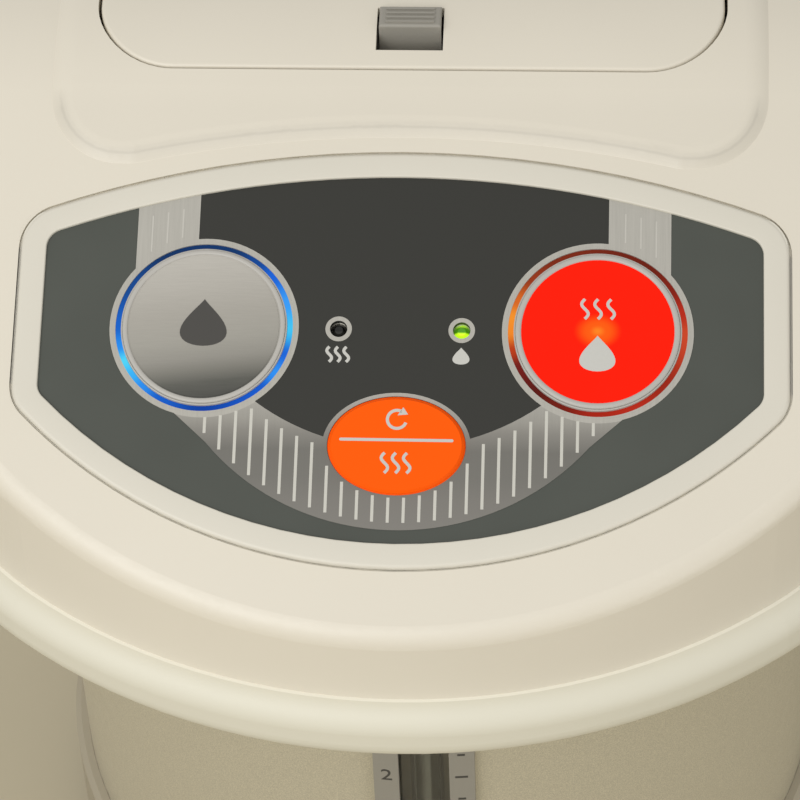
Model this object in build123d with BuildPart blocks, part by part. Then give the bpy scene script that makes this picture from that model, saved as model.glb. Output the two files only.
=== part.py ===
from build123d import *
import math
import os

# Hot water dispenser with two pumps, all sizes in millimetres.
# X is to the right seen from the front, Y runs to the back, Z is up, and the table is at Z 0.
# The axis of the round body is the Z axis. The spouts are in front, at negative Y.

os.makedirs("parts", exist_ok=True)

# Body
BODY_R = 98.0
SHELL_T = 0.8
BASE_FLOOR_Z = 9.0
BASE_TOP_Z = 42.0
FLOOR_T = 3.0
BASE_OUT = 3.5
SHELL_SEAT = 4.0

# Head in plan: a flat arc in front, a round corner each side, straight sides, half a circle behind
HEAD_OUT = 5.0
HEAD_W = BODY_R + HEAD_OUT
HEAD_FRONT = 82.6
HEAD_CY = -92.0
HEAD_CORNER_R = 72.0
PART_Z = 268.0
COVER_WALL = 2.6
CREASE_R = 4.5
COLLAR_OUT = 5.6
COLLAR_IN = 4.8
COLLAR_H = 15.0
COLLAR_TOP_R = 5.0
COLLAR_LOW_R = 6.5
COLLAR_FLOOR = 3.0

# Sloping control panel, its plane through the point midway between the two round buttons
TILT = 21.4
PANEL_AHEAD = 22.4
PANEL_UP = 42.3
PANEL_Y = HEAD_CY - PANEL_AHEAD
PANEL_Z = PART_Z + PANEL_UP
PANEL_HALF = 77.4
PANEL_LOW_R = 105.3
PANEL_LOW_C = 55.2
PANEL_TOP = 38.1
PANEL_TOP_R = 208.0
PANEL_CORNER = 6.0
PANEL_GAP = 0.45
PANEL_DEEP = 4.0
BEZEL_UP = 0.4
LABEL_IN = 5.1
LABEL_DOWN = 0.2
LABEL_T = 1.2
FOIL_T = 0.12

SIN = math.sin(math.radians(TILT))
COS = math.cos(math.radians(TILT))
TAN = math.tan(math.radians(TILT))
NORMAL = (0, -SIN, COS)

# The top runs level behind the bend, and the lid stands on a raised field with a soft edge
BEND_Y = -66.0
BEND_R = 60.0
BEND_Z = PANEL_Z + (BEND_Y - PANEL_Y) * TAN
LEVEL_Z = BEND_Z + BEND_R * (1 - COS)
RAISED = 1.5
FIELD_HALF = 73.4
FIELD_FRONT_Y = -79.5
FIELD_BEND_X = 55.5
FIELD_ARC_R = 264.0
FIELD_MID_Y = FIELD_FRONT_Y + FIELD_ARC_R - math.sqrt(FIELD_ARC_R**2 - FIELD_BEND_X**2)
FIELD_EDGE = 5.6
FIELD_REAR_C = HEAD_W - FIELD_HALF - FIELD_EDGE
FIELD_CORNER = 15.0
FIELD_BEND_R = 8.0
FIELD_SOFT_R = 8.0
FIELD_SOFT_W = math.sqrt(FIELD_SOFT_R**2 - (FIELD_SOFT_R - RAISED) ** 2)
FIELD_SPREAD = FIELD_SOFT_R - FIELD_SOFT_W

# Controls on the panel
BUTTON_X = 39.35
BUTTON_R = 16.4
RING_IN = 16.75
RING_OUT = 18.05
FOIL_R = 19.05
HOT_FACE_R = 15.4
BUTTON_UP = 0.5
TRAVEL = 2.0
REBOIL_S = -24.5
REBOIL_A = 13.4
REBOIL_B = 10.0
REBOIL_RING_A = 14.7
REBOIL_RING_B = 11.1
KEY_GAP = 0.35
LAMP_X = 12.3
LAMP_R = 1.5
LAMP_HOLE = 1.75
LAMP_RING = 2.65
BAND_IN = 41.3
BAND_OUT = 53.8
SWOOP_OUT_R = 49.6
SWOOP_OUT_C = 7.6
SWOOP_IN_R = 47.4
SWOOP_IN_C = 22.3
BOARD_H = -14.0
BOARD_T = 1.6
SWITCH_CASE = 2.8
SWITCH_STEM = 0.8

# Water parts: the pot stands inside the body with room for its jacket and the pipes
WALL_ROOM = 21.2
LID_DEEP = 11.4
PAN_Z = LEVEL_Z - LID_DEEP
POT_R = BODY_R - WALL_ROOM
POT_T = 0.8
POT_STAND = 28.0
POT_Z = BASE_TOP_Z + POT_STAND
SHOULDER_DOWN = 52.0
SHOULDER_H = 16.0
NECK_H = 6.0
POT_SHOULDER_Z = PAN_Z - SHOULDER_DOWN
POT_NECK_R = 62.0
POT_NECK_Z = POT_SHOULDER_Z + SHOULDER_H
POT_RIM_Z = POT_NECK_Z + NECK_H
POT_RIM_W = 6.0
POT_BREAK = 3.0
POT_BREAK_IN = POT_BREAK + POT_T * math.tan(math.radians(22.5))
MOUTH_IN = 5.0
MOUTH_R = POT_NECK_R - MOUTH_IN
STUB_R = 5.0
STUB_BORE = 4.2
STUB_H = 9.0
PUMP_IN = 70.0
PUMP_X = BODY_R - PUMP_IN
PUMP_Y = -30.0
PUMP_R = 17.0
PUMP_LOW = 36.0
PUMP_TOP = 52.0
CHAMBER_R = 13.0
OUTLET_Z = 44.0
MOTOR_R = 14.0
LOOP_TUBE = 2.5
LOOP_Z = 22.0
LOOP_STEP = 9.0
LOOP_BACK_Y = 36.0
LOOP_FRONT_Y = -34.0
RISER_X = 15.0
RISER_IN = 12.0
RISER_Y = RISER_IN - BODY_R
TUBE_OUT = 3.6
COLLAR_LOW_Z = PART_Z - COLLAR_H
ELBOW_DOWN = 7.0
ELBOW_Z = COLLAR_LOW_Z - ELBOW_DOWN
VALVE_R = 7.5
VALVE_H = 24.0
VALVE_DOWN = 16.0
VALVE_TOP = ELBOW_Z - VALVE_DOWN
VALVE_LOW = VALVE_TOP - VALVE_H
SPOUT_X = 9.0
SPOUT_AHEAD = 36.0
SPOUT_Y = HEAD_CY - SPOUT_AHEAD
BEAK_H = 34.0
BEAK_IN = 8.0
BEAK_SLOPE = 36.0
BEAK_WALL = 2.5
BEAK_LOW_Z = COLLAR_LOW_Z - BEAK_H

# Lid
LID_HALF = 64.5
LID_FRONT_Y = -62.0
LID_REAR = 46.0
LID_REAR_Y = FIELD_REAR_C + LID_REAR
LID_CORNER = 16.0
LID_REAR_CORNER = 40.0
LID_GAP = 0.6
LID_WALL = 2.2
LID_TOP = 2.4
LOCK_TRAVEL = 4.0
PAN_T = 2.4
LID_UP = 0.3
LID_LOW_Z = PAN_Z + LID_UP
PIN_BACK = 6.0
PIN_UP = 7.5
PIN_Y = LID_REAR_Y + PIN_BACK
PIN_Z = PAN_Z + PIN_UP
PIN_R = 1.8
LUG_R = 4.3
LUG_W = 8.0
LUG_X = 26.4
RUNNING = 0.05
SLIP = 0.1
SLIDE = 0.3

# Handle
HANDLE_UP = 15.0
HANDLE_OUT = 2.0
HANDLE_Z = PART_Z + HANDLE_UP
HANDLE_IN = HEAD_W + HANDLE_OUT
HANDLE_SWING = 0.8
HANDLE_T = 7.0
HANDLE_H = 14.0
GRIP_IN = 1.2
PIVOT_R = 5.0
PIVOT_BOSS_R = 11.0

# Level gauge in the front of the body
GAUGE_IN = 10.0
GAUGE_UP = 8.0
GAUGE_DOWN = 72.0
GAUGE_Y = GAUGE_IN - BODY_R
GAUGE_LOW = POT_Z + GAUGE_UP
GAUGE_TOP = PART_Z - GAUGE_DOWN
GAUGE_W = 24.0
GAUGE_SLOT_W = 12.0
GAUGE_RIM = 6.0
GAUGE_OUT = 2.4


def on_panel(height):
    """The plane that lies height above the sloping panel face."""
    start = (0, PANEL_Y - SIN * height, PANEL_Z + COS * height)
    return Plane(origin=start, x_dir=(1, 0, 0), z_dir=NORMAL)


def head_outline(grow):
    """Plan of the head, grown outwards by grow, its arcs meeting without a corner."""
    corner_x = HEAD_W - HEAD_CORNER_R
    spare = HEAD_FRONT - HEAD_CORNER_R
    front_r = HEAD_CORNER_R + (corner_x**2 + spare**2) / (2 * spare)
    front_cy = HEAD_CY + front_r - HEAD_FRONT
    turn = math.atan2(corner_x, front_cy - HEAD_CY)
    side = HEAD_W + grow
    meet_x = (front_r + grow) * math.sin(turn)
    meet_y = front_cy - (front_r + grow) * math.cos(turn)
    half = (math.pi / 2 + turn) / 2
    bow_x = corner_x + (HEAD_CORNER_R + grow) * math.sin(half)
    bow_y = HEAD_CY - (HEAD_CORNER_R + grow) * math.cos(half)
    with BuildSketch() as plan:
        with BuildLine():
            ThreePointArc((-meet_x, meet_y), (0, HEAD_CY - HEAD_FRONT - grow), (meet_x, meet_y))
            ThreePointArc((meet_x, meet_y), (bow_x, bow_y), (side, HEAD_CY))
            Line((side, HEAD_CY), (side, 0))
            ThreePointArc((side, 0), (0, side), (-side, 0))
            Line((-side, 0), (-side, HEAD_CY))
            ThreePointArc((-side, HEAD_CY), (-bow_x, bow_y), (-meet_x, meet_y))
        make_face()
    return plan.sketch


def panel_outline(grow):
    """Outline of the control panel in its own plane, grown outwards by grow."""
    with BuildSketch() as shape:
        with Locations((0, PANEL_LOW_C)):
            Circle(PANEL_LOW_R + grow)
        with Locations((0, PANEL_TOP - PANEL_TOP_R)):
            Circle(PANEL_TOP_R + grow, mode=Mode.INTERSECT)
        Rectangle(2 * (PANEL_HALF + grow), 4 * PANEL_HALF, mode=Mode.INTERSECT)
        fillet(shape.vertices(), max(PANEL_CORNER + grow, 1.0))
    return shape.sketch


def field_outline(grow):
    """Plan of the raised field that carries the lid, grown outwards by grow."""
    half = FIELD_HALF + grow
    front_y = FIELD_FRONT_Y - grow
    with BuildSketch() as plan:
        with Locations((0, (front_y + FIELD_REAR_C) / 2)):
            Rectangle(2 * half, FIELD_REAR_C - front_y)
        with Locations((0, FIELD_REAR_C)):
            Circle(half)
        with Locations((0, FIELD_MID_Y - FIELD_ARC_R)):
            Circle(FIELD_ARC_R - grow, mode=Mode.SUBTRACT)
        front = plan.vertices().filter_by(lambda v: v.Y < FIELD_MID_Y - grow)
        corners = front.filter_by(lambda v: abs(v.X) > half - 1)
        fillet(corners, FIELD_CORNER + grow)
        front = plan.vertices().filter_by(lambda v: v.Y < FIELD_MID_Y - grow)
        bends = front.filter_by(lambda v: abs(v.X) < half - FIELD_CORNER - grow - 1)
        fillet(bends.sort_by(Axis.X)[0:1] + bends.sort_by(Axis.X)[-1:], FIELD_BEND_R)
    return plan.sketch


def lid_outline(grow, rear):
    """Plan of the lid, grown outwards by grow and cut off at rear."""
    half = LID_HALF + grow
    front = LID_FRONT_Y - grow
    with BuildSketch() as plan:
        with Locations((0, (front + FIELD_REAR_C) / 2)):
            Rectangle(2 * half, FIELD_REAR_C - front)
        with Locations((0, FIELD_REAR_C)):
            Circle(half)
        fillet(plan.vertices().filter_by(lambda v: v.Y < front + 1), LID_CORNER + grow)
        if rear < FIELD_REAR_C + half:
            with Locations((0, rear + half)):
                Rectangle(4 * half, 2 * half, mode=Mode.SUBTRACT)
            fillet(plan.vertices().filter_by(lambda v: v.Y > rear - 1), LID_REAR_CORNER)
    return plan.sketch


def under_top(lift):
    """Everything below the top surface, with that surface raised by lift."""
    front_y = HEAD_CY - HEAD_FRONT - 60
    front_z = BEND_Z + (front_y - BEND_Y) * TAN + lift
    half = math.radians(TILT / 2)
    middle_y = BEND_Y + BEND_R * (SIN - math.sin(half))
    middle_z = BEND_Z + BEND_R * (math.cos(half) - COS) + lift
    end_y = BEND_Y + BEND_R * SIN
    with BuildPart() as block:
        with BuildSketch(Plane.YZ):
            with BuildLine():
                Line((front_y, front_z), (BEND_Y, BEND_Z + lift))
                ThreePointArc((BEND_Y, BEND_Z + lift), (middle_y, middle_z), (end_y, LEVEL_Z + lift))
                Polyline((end_y, LEVEL_Z + lift), (2 * HEAD_W, LEVEL_Z + lift), (2 * HEAD_W, 150))
                Polyline((2 * HEAD_W, 150), (front_y, 150), (front_y, front_z))
            make_face()
        extrude(amount=2 * HEAD_W, both=True)
    return block.part


def standing(sketch, low, high):
    """A prism over a plan, from low to high."""
    return extrude(Plane.XY.offset(low) * sketch, high - low)


def tube(route, radius, bends):
    """A round tube along straight runs joined by arcs."""
    path = FilletPolyline(*route, radius=bends)
    start = Plane(origin=path @ 0, z_dir=path % 0)
    return sweep(start * Circle(radius), path=path)


# Swivel base: a round plate on rubber feet, with a spigot that the dispenser turns on
PLATE_IN = 8.0
PLATE_R = BODY_R - PLATE_IN
PLATE_LOW = 3.0
PLATE_TOP = 8.0
PLATE_BREAK = 1.5
HOLLOW_IN = 26.0
HOLLOW_OUT = 10.0
HOLLOW_H = 2.0
SPIGOT_R = 12.0
CLIP_Z = BASE_FLOOR_Z + FLOOR_T + SLIDE
FOOT_R = 9.0
FOOT_IN = 16.0
FOOT_RING = PLATE_R - FOOT_IN
FOOT_BREAK = 0.8
GLIDE_R = 6.0
GLIDE_IN = 20.0
GLIDE_RING = PLATE_R - GLIDE_IN
STEM_R = 3.0
STEM_H = 2.5
RIVET_R = 2.0

with BuildPart() as swivel_plate:
    with BuildSketch(Plane.XY.offset(PLATE_LOW)):
        Circle(PLATE_R)
    extrude(amount=PLATE_TOP - PLATE_LOW)
    chamfer(swivel_plate.edges().group_by(Axis.Z)[-1], PLATE_BREAK)
    with BuildSketch(Plane.XY.offset(PLATE_LOW)):
        Circle(PLATE_R - HOLLOW_IN)
        Circle(SPIGOT_R + HOLLOW_OUT, mode=Mode.SUBTRACT)
    extrude(amount=HOLLOW_H, mode=Mode.SUBTRACT)
    with BuildSketch(Plane.XY.offset(PLATE_TOP)):
        Circle(SPIGOT_R)
    extrude(amount=CLIP_Z - PLATE_TOP)
    with BuildSketch(Plane.XY.offset(PLATE_LOW)):
        Circle(RIVET_R)
    extrude(amount=CLIP_Z - PLATE_LOW, mode=Mode.SUBTRACT)
    with BuildSketch(Plane.XY.offset(PLATE_LOW)):
        with PolarLocations(FOOT_RING, 4, start_angle=45):
            Circle(STEM_R)
    extrude(amount=STEM_H, mode=Mode.SUBTRACT)

with BuildPart() as feet:
    with BuildSketch(Plane.XY):
        with PolarLocations(FOOT_RING, 4, start_angle=45):
            Circle(FOOT_R)
    extrude(amount=PLATE_LOW)
    chamfer(feet.edges().group_by(Axis.Z)[0], FOOT_BREAK)
    with BuildSketch(Plane.XY.offset(PLATE_LOW)):
        with PolarLocations(FOOT_RING, 4, start_angle=45):
            Circle(STEM_R)
    extrude(amount=STEM_H)

CLIP_OUT = 4.0
CLIP_T = 1.5
RIVET_HEAD_R = 4.5
RIVET_HEAD_H = 2.0
RIVET_L = 7.0
RIVET_SLOT = 1.0

with BuildPart() as swivel_clip:
    with BuildSketch(Plane.XY.offset(CLIP_Z)):
        Circle(SPIGOT_R + CLIP_OUT)
    extrude(amount=CLIP_T)
    with BuildSketch(Plane.XY.offset(CLIP_Z + CLIP_T)):
        Circle(RIVET_HEAD_R)
    extrude(amount=RIVET_HEAD_H)
    with BuildSketch(Plane.XY.offset(CLIP_Z + CLIP_T + RIVET_HEAD_H)):
        Rectangle(2 * RIVET_HEAD_R, RIVET_SLOT)
    extrude(amount=-RIVET_SLOT, mode=Mode.SUBTRACT)
    with BuildSketch(Plane.XY.offset(CLIP_Z)):
        Circle(RIVET_R)
    extrude(amount=-RIVET_L)

# Base pan: the ring round the foot of the body, with its floor and bosses
INLET_Z = 25.0
INLET_W = 34.0
INLET_H = 20.0
BOARD_Y = 31.0
BOARD_W = 60.0
BOARD_L = 42.0
BOARD_Z = 20.0
BOARD_HOLE_IN = 4.0
BOARD_HOLE_X = BOARD_W / 2 - BOARD_HOLE_IN
BOARD_HOLE_Y = BOARD_L / 2 - BOARD_HOLE_IN
BOARD_HOLES = [(sx * BOARD_HOLE_X, BOARD_Y + sy * BOARD_HOLE_Y) for sx in (-1, 1) for sy in (-1, 1)]
PUMPS = [(PUMP_X, PUMP_Y), (-PUMP_X, PUMP_Y)]
BASE_WALL = 2.5
MOTOR_SEAT_T = 2.2
MOTOR_SEAT_H = 7.0
BOARD_BOSS_R = 3.4
SCREW_HOLE_R = 1.2
SCREW_HOLE_D = 7.5
VENTS = 7
VENT_STEP = 8.0
VENT_W = 3.0
VENT_L = 22.0
INLET_CORNER = 4.0
INLET_DEEP = 24.0
INLET_OUT = 0.6
INLET_WALL = 3.0
INLET_ROOM_L = 9.0
PRONG_R = 2.0
PRONG_X = 8.0
PRONG_L = 5.0
PRONG_BREAK = 0.6

with BuildPart() as base_pan:
    with BuildSketch(Plane.XY.offset(BASE_FLOOR_Z)):
        Circle(BODY_R + BASE_OUT)
    extrude(amount=BASE_TOP_Z - BASE_FLOOR_Z)
    chamfer(base_pan.edges().group_by(Axis.Z)[-1], PLATE_BREAK)
    with BuildSketch(Plane.XY.offset(BASE_FLOOR_Z + FLOOR_T)):
        Circle(BODY_R - BASE_WALL)
    extrude(amount=BASE_TOP_Z, mode=Mode.SUBTRACT)
    with BuildSketch(Plane.XY.offset(BASE_TOP_Z - SHELL_SEAT)):
        Circle(BODY_R + RUNNING)
    extrude(amount=BASE_TOP_Z, mode=Mode.SUBTRACT)
    with BuildSketch(Plane.XY.offset(BASE_FLOOR_Z + FLOOR_T)):
        with Locations(PUMPS):
            Circle(MOTOR_R + MOTOR_SEAT_T)
        with Locations(PUMPS):
            Circle(MOTOR_R + SLIP, mode=Mode.SUBTRACT)
    extrude(amount=MOTOR_SEAT_H)
    with BuildSketch(Plane.XY.offset(BASE_FLOOR_Z + FLOOR_T)):
        with Locations(BOARD_HOLES):
            Circle(BOARD_BOSS_R)
    extrude(amount=BOARD_Z - BASE_FLOOR_Z - FLOOR_T)
    with BuildSketch(Plane.XY.offset(BASE_FLOOR_Z)):
        Circle(SPIGOT_R + RUNNING)
        with Locations((0, BOARD_Y + VENT_STEP)):
            with GridLocations(VENT_STEP, VENT_L, VENTS, 1):
                Rectangle(VENT_W, VENT_L)
    extrude(amount=FLOOR_T, mode=Mode.SUBTRACT)
    with BuildSketch(Plane.XY.offset(BOARD_Z)):
        with Locations(BOARD_HOLES):
            Circle(SCREW_HOLE_R)
    extrude(amount=-SCREW_HOLE_D, mode=Mode.SUBTRACT)
    with BuildSketch(Plane.XZ.offset(-BODY_R - 2 * BASE_OUT)):
        with Locations((0, INLET_Z)):
            RectangleRounded(INLET_W, INLET_H, INLET_CORNER)
    extrude(amount=INLET_DEEP, mode=Mode.SUBTRACT)

with BuildPart() as glide_pads:
    with BuildSketch(Plane.XY.offset(PLATE_TOP)):
        with PolarLocations(GLIDE_RING, 6):
            Circle(GLIDE_R)
    extrude(amount=BASE_FLOOR_Z - PLATE_TOP)

INLET_FACE = Plane.XZ.offset(-BODY_R - BASE_OUT - INLET_OUT)
INLET_BACK = Plane.XZ.offset(-BODY_R - BASE_OUT - INLET_OUT + INLET_ROOM_L)

with BuildPart() as inlet_socket:
    with BuildSketch(INLET_FACE):
        with Locations((0, INLET_Z)):
            RectangleRounded(INLET_W - 2 * SLIDE, INLET_H - 2 * SLIDE, INLET_CORNER - SLIDE)
    extrude(amount=INLET_DEEP)
    with BuildSketch(INLET_FACE):
        with Locations((0, INLET_Z)):
            RectangleRounded(INLET_W - 2 * INLET_WALL, INLET_H - 2 * INLET_WALL, INLET_WALL - PRONG_BREAK)
    extrude(amount=INLET_ROOM_L, mode=Mode.SUBTRACT)

with BuildPart() as inlet_pins:
    with BuildSketch(INLET_BACK):
        with Locations((-PRONG_X, INLET_Z), (PRONG_X, INLET_Z)):
            Circle(PRONG_R)
    extrude(amount=-PRONG_L)
    chamfer(inlet_pins.edges().group_by(Axis.Y)[-1], PRONG_BREAK)

# Outer body: a rolled sheet with openings for the gauge and for the spout pipes
SHELL_LOW = BASE_TOP_Z - SHELL_SEAT
SHELL_DOWN = 9.0
SHELL_TOP = PART_Z - SHELL_DOWN
PIPE_SLOT_H = 26.0
PIPE_SLOT_DOWN = 9.0
PIPE_ROOM = 5.4
CUT_L = 40.0

with BuildPart() as body_shell:
    with BuildSketch(Plane.XY.offset(SHELL_LOW)):
        Circle(BODY_R)
        Circle(BODY_R - SHELL_T, mode=Mode.SUBTRACT)
    extrude(amount=SHELL_TOP - SHELL_LOW)
    with BuildSketch(Plane.XZ.offset(BODY_R - 20)):
        with Locations((0, (GAUGE_LOW + GAUGE_TOP) / 2)):
            Rectangle(GAUGE_SLOT_W + 2, GAUGE_TOP - GAUGE_LOW)
        with Locations((0, ELBOW_Z - PIPE_SLOT_DOWN)):
            Rectangle(2 * (RISER_X + TUBE_OUT + PIPE_ROOM), PIPE_SLOT_H)
    extrude(amount=CUT_L, mode=Mode.SUBTRACT)

with BuildPart() as gauge_frame:
    with BuildSketch(Plane.XY.offset(GAUGE_LOW - GAUGE_RIM)):
        Circle(BODY_R + GAUGE_OUT)
        Circle(BODY_R, mode=Mode.SUBTRACT)
        with Locations((0, -BODY_R)):
            Rectangle(GAUGE_W, GAUGE_W, mode=Mode.INTERSECT)
    extrude(amount=GAUGE_TOP - GAUGE_LOW + 2 * GAUGE_RIM)
    with BuildSketch(Plane.XZ.offset(BODY_R - 20)):
        with Locations((0, (GAUGE_LOW + GAUGE_TOP) / 2)):
            RectangleRounded(GAUGE_SLOT_W, GAUGE_TOP - GAUGE_LOW - 2, GAUGE_SLOT_W / 2 - 1)
    extrude(amount=CUT_L, mode=Mode.SUBTRACT)

WINDOW_T = 1.8

with BuildPart() as gauge_window:
    with BuildSketch(Plane.XY.offset(GAUGE_LOW + 2 * SLIP)):
        Circle(BODY_R - SLIP)
        Circle(BODY_R - WINDOW_T, mode=Mode.SUBTRACT)
        with Locations((0, -BODY_R)):
            Rectangle(GAUGE_SLOT_W + 2 - 4 * SLIP, GAUGE_W, mode=Mode.INTERSECT)
    extrude(amount=GAUGE_TOP - GAUGE_LOW - 4 * SLIP)

SEAL_R = 6.0
SEAL_H = 14.0
SEAL_ARM_R = 3.4
SEAL_ARM_UP = 10.0
SEAL_OVER = 16.0
SEAL_LOW = GAUGE_LOW - SEAL_H
SEAL_TOP = GAUGE_TOP + SEAL_OVER
SEALS = [SEAL_LOW, SEAL_TOP]
GLASS_R = 4.0
GLASS_BORE = 2.8
GLASS_IN = 4.0
GLASS_L = SEAL_TOP - SEAL_LOW + GLASS_IN

with BuildPart() as gauge_tube:
    with BuildSketch(Plane.XY.offset(SEAL_LOW + GLASS_IN)):
        with Locations((0, GAUGE_Y)):
            Circle(GLASS_R)
            Circle(GLASS_BORE, mode=Mode.SUBTRACT)
    extrude(amount=GLASS_L)

with BuildPart() as gauge_seals:
    for level in SEALS:
        with BuildSketch(Plane.XY.offset(level)):
            with Locations((0, GAUGE_Y)):
                Circle(SEAL_R)
        extrude(amount=SEAL_H)
        with BuildSketch(Plane.XZ.offset(-GAUGE_Y)):
            with Locations((0, level + SEAL_ARM_UP)):
                Circle(SEAL_ARM_R)
        extrude(amount=GAUGE_Y + POT_R)
    with BuildSketch(Plane.XY.offset(SEAL_LOW + GLASS_IN)):
        with Locations((0, GAUGE_Y)):
            Circle(GLASS_R)
    extrude(amount=GLASS_L, mode=Mode.SUBTRACT)

# Inner pot: a deep drawn cup with two drain stubs, and its shoulder and neck welded on top
with BuildPart() as inner_pot:
    with BuildSketch(Plane.XZ):
        with BuildLine():
            Polyline(
                (0, POT_Z),
                (POT_R - POT_BREAK, POT_Z),
                (POT_R, POT_Z + POT_BREAK),
                (POT_R, POT_SHOULDER_Z),
                (POT_R - POT_T, POT_SHOULDER_Z),
                (POT_R - POT_T, POT_Z + POT_BREAK_IN),
                (POT_R - POT_BREAK_IN, POT_Z + POT_T),
                (0, POT_Z + POT_T),
                (0, POT_Z),
            )
        make_face()
    revolve(axis=Axis.Z)
    with BuildSketch(Plane.XY.offset(POT_Z)):
        with Locations(PUMPS):
            Circle(STUB_R)
    extrude(amount=-STUB_H)
    with BuildSketch(Plane.XY.offset(POT_Z + POT_T)):
        with Locations(PUMPS):
            Circle(STUB_BORE)
    extrude(amount=-POT_T - STUB_H, mode=Mode.SUBTRACT)

with BuildPart() as pot_neck:
    with BuildSketch(Plane.XZ):
        with BuildLine():
            Polyline(
                (POT_R, POT_SHOULDER_Z),
                (POT_NECK_R, POT_NECK_Z),
                (POT_NECK_R, POT_RIM_Z),
                (POT_NECK_R + POT_RIM_W, POT_RIM_Z),
                (POT_NECK_R + POT_RIM_W, POT_RIM_Z + POT_T),
                (POT_NECK_R - POT_T, POT_RIM_Z + POT_T),
                (POT_NECK_R - POT_T, POT_NECK_Z - POT_T / 2),
                (POT_R - POT_T, POT_SHOULDER_Z),
                (POT_R, POT_SHOULDER_Z),
            )
        make_face()
    revolve(axis=Axis.Z)

HEATER_ROOM = 3.0
HEATER_R = math.hypot(PUMP_X, PUMP_Y) - STUB_R - HEATER_ROOM
HEATER_T = 4.0
TAB_IN = 9.0
TAB_Y = 10.0
TAB_W = 6.3
TAB_T = 0.8
TAB_L = 8.0

with BuildPart() as heater_plate:
    with BuildSketch(Plane.XY.offset(POT_Z)):
        Circle(HEATER_R)
    extrude(amount=-HEATER_T)
    chamfer(heater_plate.edges().group_by(Axis.Z)[0], 1.0)
    with BuildSketch(Plane.XY.offset(POT_Z - HEATER_T)):
        with Locations((TAB_IN - HEATER_R, TAB_Y), (HEATER_R - TAB_IN, TAB_Y)):
            Rectangle(TAB_W, TAB_T)
    extrude(amount=-TAB_L)

BAND_T = 1.6
BAND_H = 34.0
BAND_SPLIT = 3.0
JACKET_UP = 14.0
JACKET_DOWN = 20.0
JACKET_IN = 5.5
JACKET_LOW = POT_Z + JACKET_UP
JACKET_TOP = POT_SHOULDER_Z - JACKET_DOWN

with BuildPart() as band_heater:
    with BuildSketch(Plane.XY.offset(JACKET_LOW)):
        Circle(POT_R + BAND_T)
        Circle(POT_R, mode=Mode.SUBTRACT)
    extrude(amount=BAND_H)
    with BuildSketch(Plane.XY.offset(JACKET_LOW)):
        with Locations((0, POT_R)):
            Rectangle(BAND_SPLIT, 5 * BAND_T)
    extrude(amount=BAND_H, mode=Mode.SUBTRACT)

STAT_R = 8.0
STAT_H = 7.0
STAT_TAB_X = 4.0
STAT_TAB_W = 5.0
STAT_TAB_L = 6.0

with BuildPart() as thermostat:
    with BuildSketch(Plane.XY.offset(POT_Z - HEATER_T)):
        Circle(STAT_R)
    extrude(amount=-STAT_H)
    with BuildSketch(Plane.XY.offset(POT_Z - HEATER_T - STAT_H)):
        with Locations((-STAT_TAB_X, 0), (STAT_TAB_X, 0)):
            Rectangle(TAB_T, STAT_TAB_W)
    extrude(amount=-STAT_TAB_L)

with BuildPart() as insulation_jacket:
    with BuildSketch(Plane.XY.offset(JACKET_LOW)):
        Circle(BODY_R - JACKET_IN)
        Circle(POT_R + BAND_T + SLIDE, mode=Mode.SUBTRACT)
        with Locations((0, RISER_Y)):
            Rectangle(2 * (RISER_X + TUBE_OUT + PIPE_ROOM + 2), 2 * WALL_ROOM, mode=Mode.SUBTRACT)
    extrude(amount=JACKET_TOP - JACKET_LOW)

GASKET_W = 5.0
GASKET_T = 2.2
MOUTH_LOW = POT_RIM_Z + POT_T + GASKET_T
MOUTH_TOP = PAN_Z
MOUTH_RIM = 3.0
MOUTH_WALL = 4.5
MOUTH_LEAD = 1.5

with BuildPart() as pot_gasket:
    with BuildSketch(Plane.XY.offset(POT_RIM_Z + POT_T)):
        Circle(POT_NECK_R + GASKET_W)
        Circle(POT_NECK_R - POT_T, mode=Mode.SUBTRACT)
    extrude(amount=GASKET_T)

with BuildPart() as mouth_ring:
    with BuildSketch(Plane.XZ):
        with BuildLine():
            Polyline(
                (MOUTH_R + MOUTH_LEAD, MOUTH_LOW),
                (POT_NECK_R + GASKET_W, MOUTH_LOW),
                (POT_NECK_R + GASKET_W, MOUTH_LOW + MOUTH_RIM),
                (MOUTH_R + MOUTH_WALL, MOUTH_LOW + MOUTH_RIM),
                (MOUTH_R + MOUTH_WALL, MOUTH_TOP),
                (MOUTH_R + MOUTH_LEAD, MOUTH_TOP),
                (MOUTH_R, MOUTH_TOP - MOUTH_LEAD),
                (MOUTH_R, MOUTH_LOW + MOUTH_RIM),
                (MOUTH_R + MOUTH_LEAD, MOUTH_LOW),
            )
        make_face()
    revolve(axis=Axis.Z)

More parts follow.
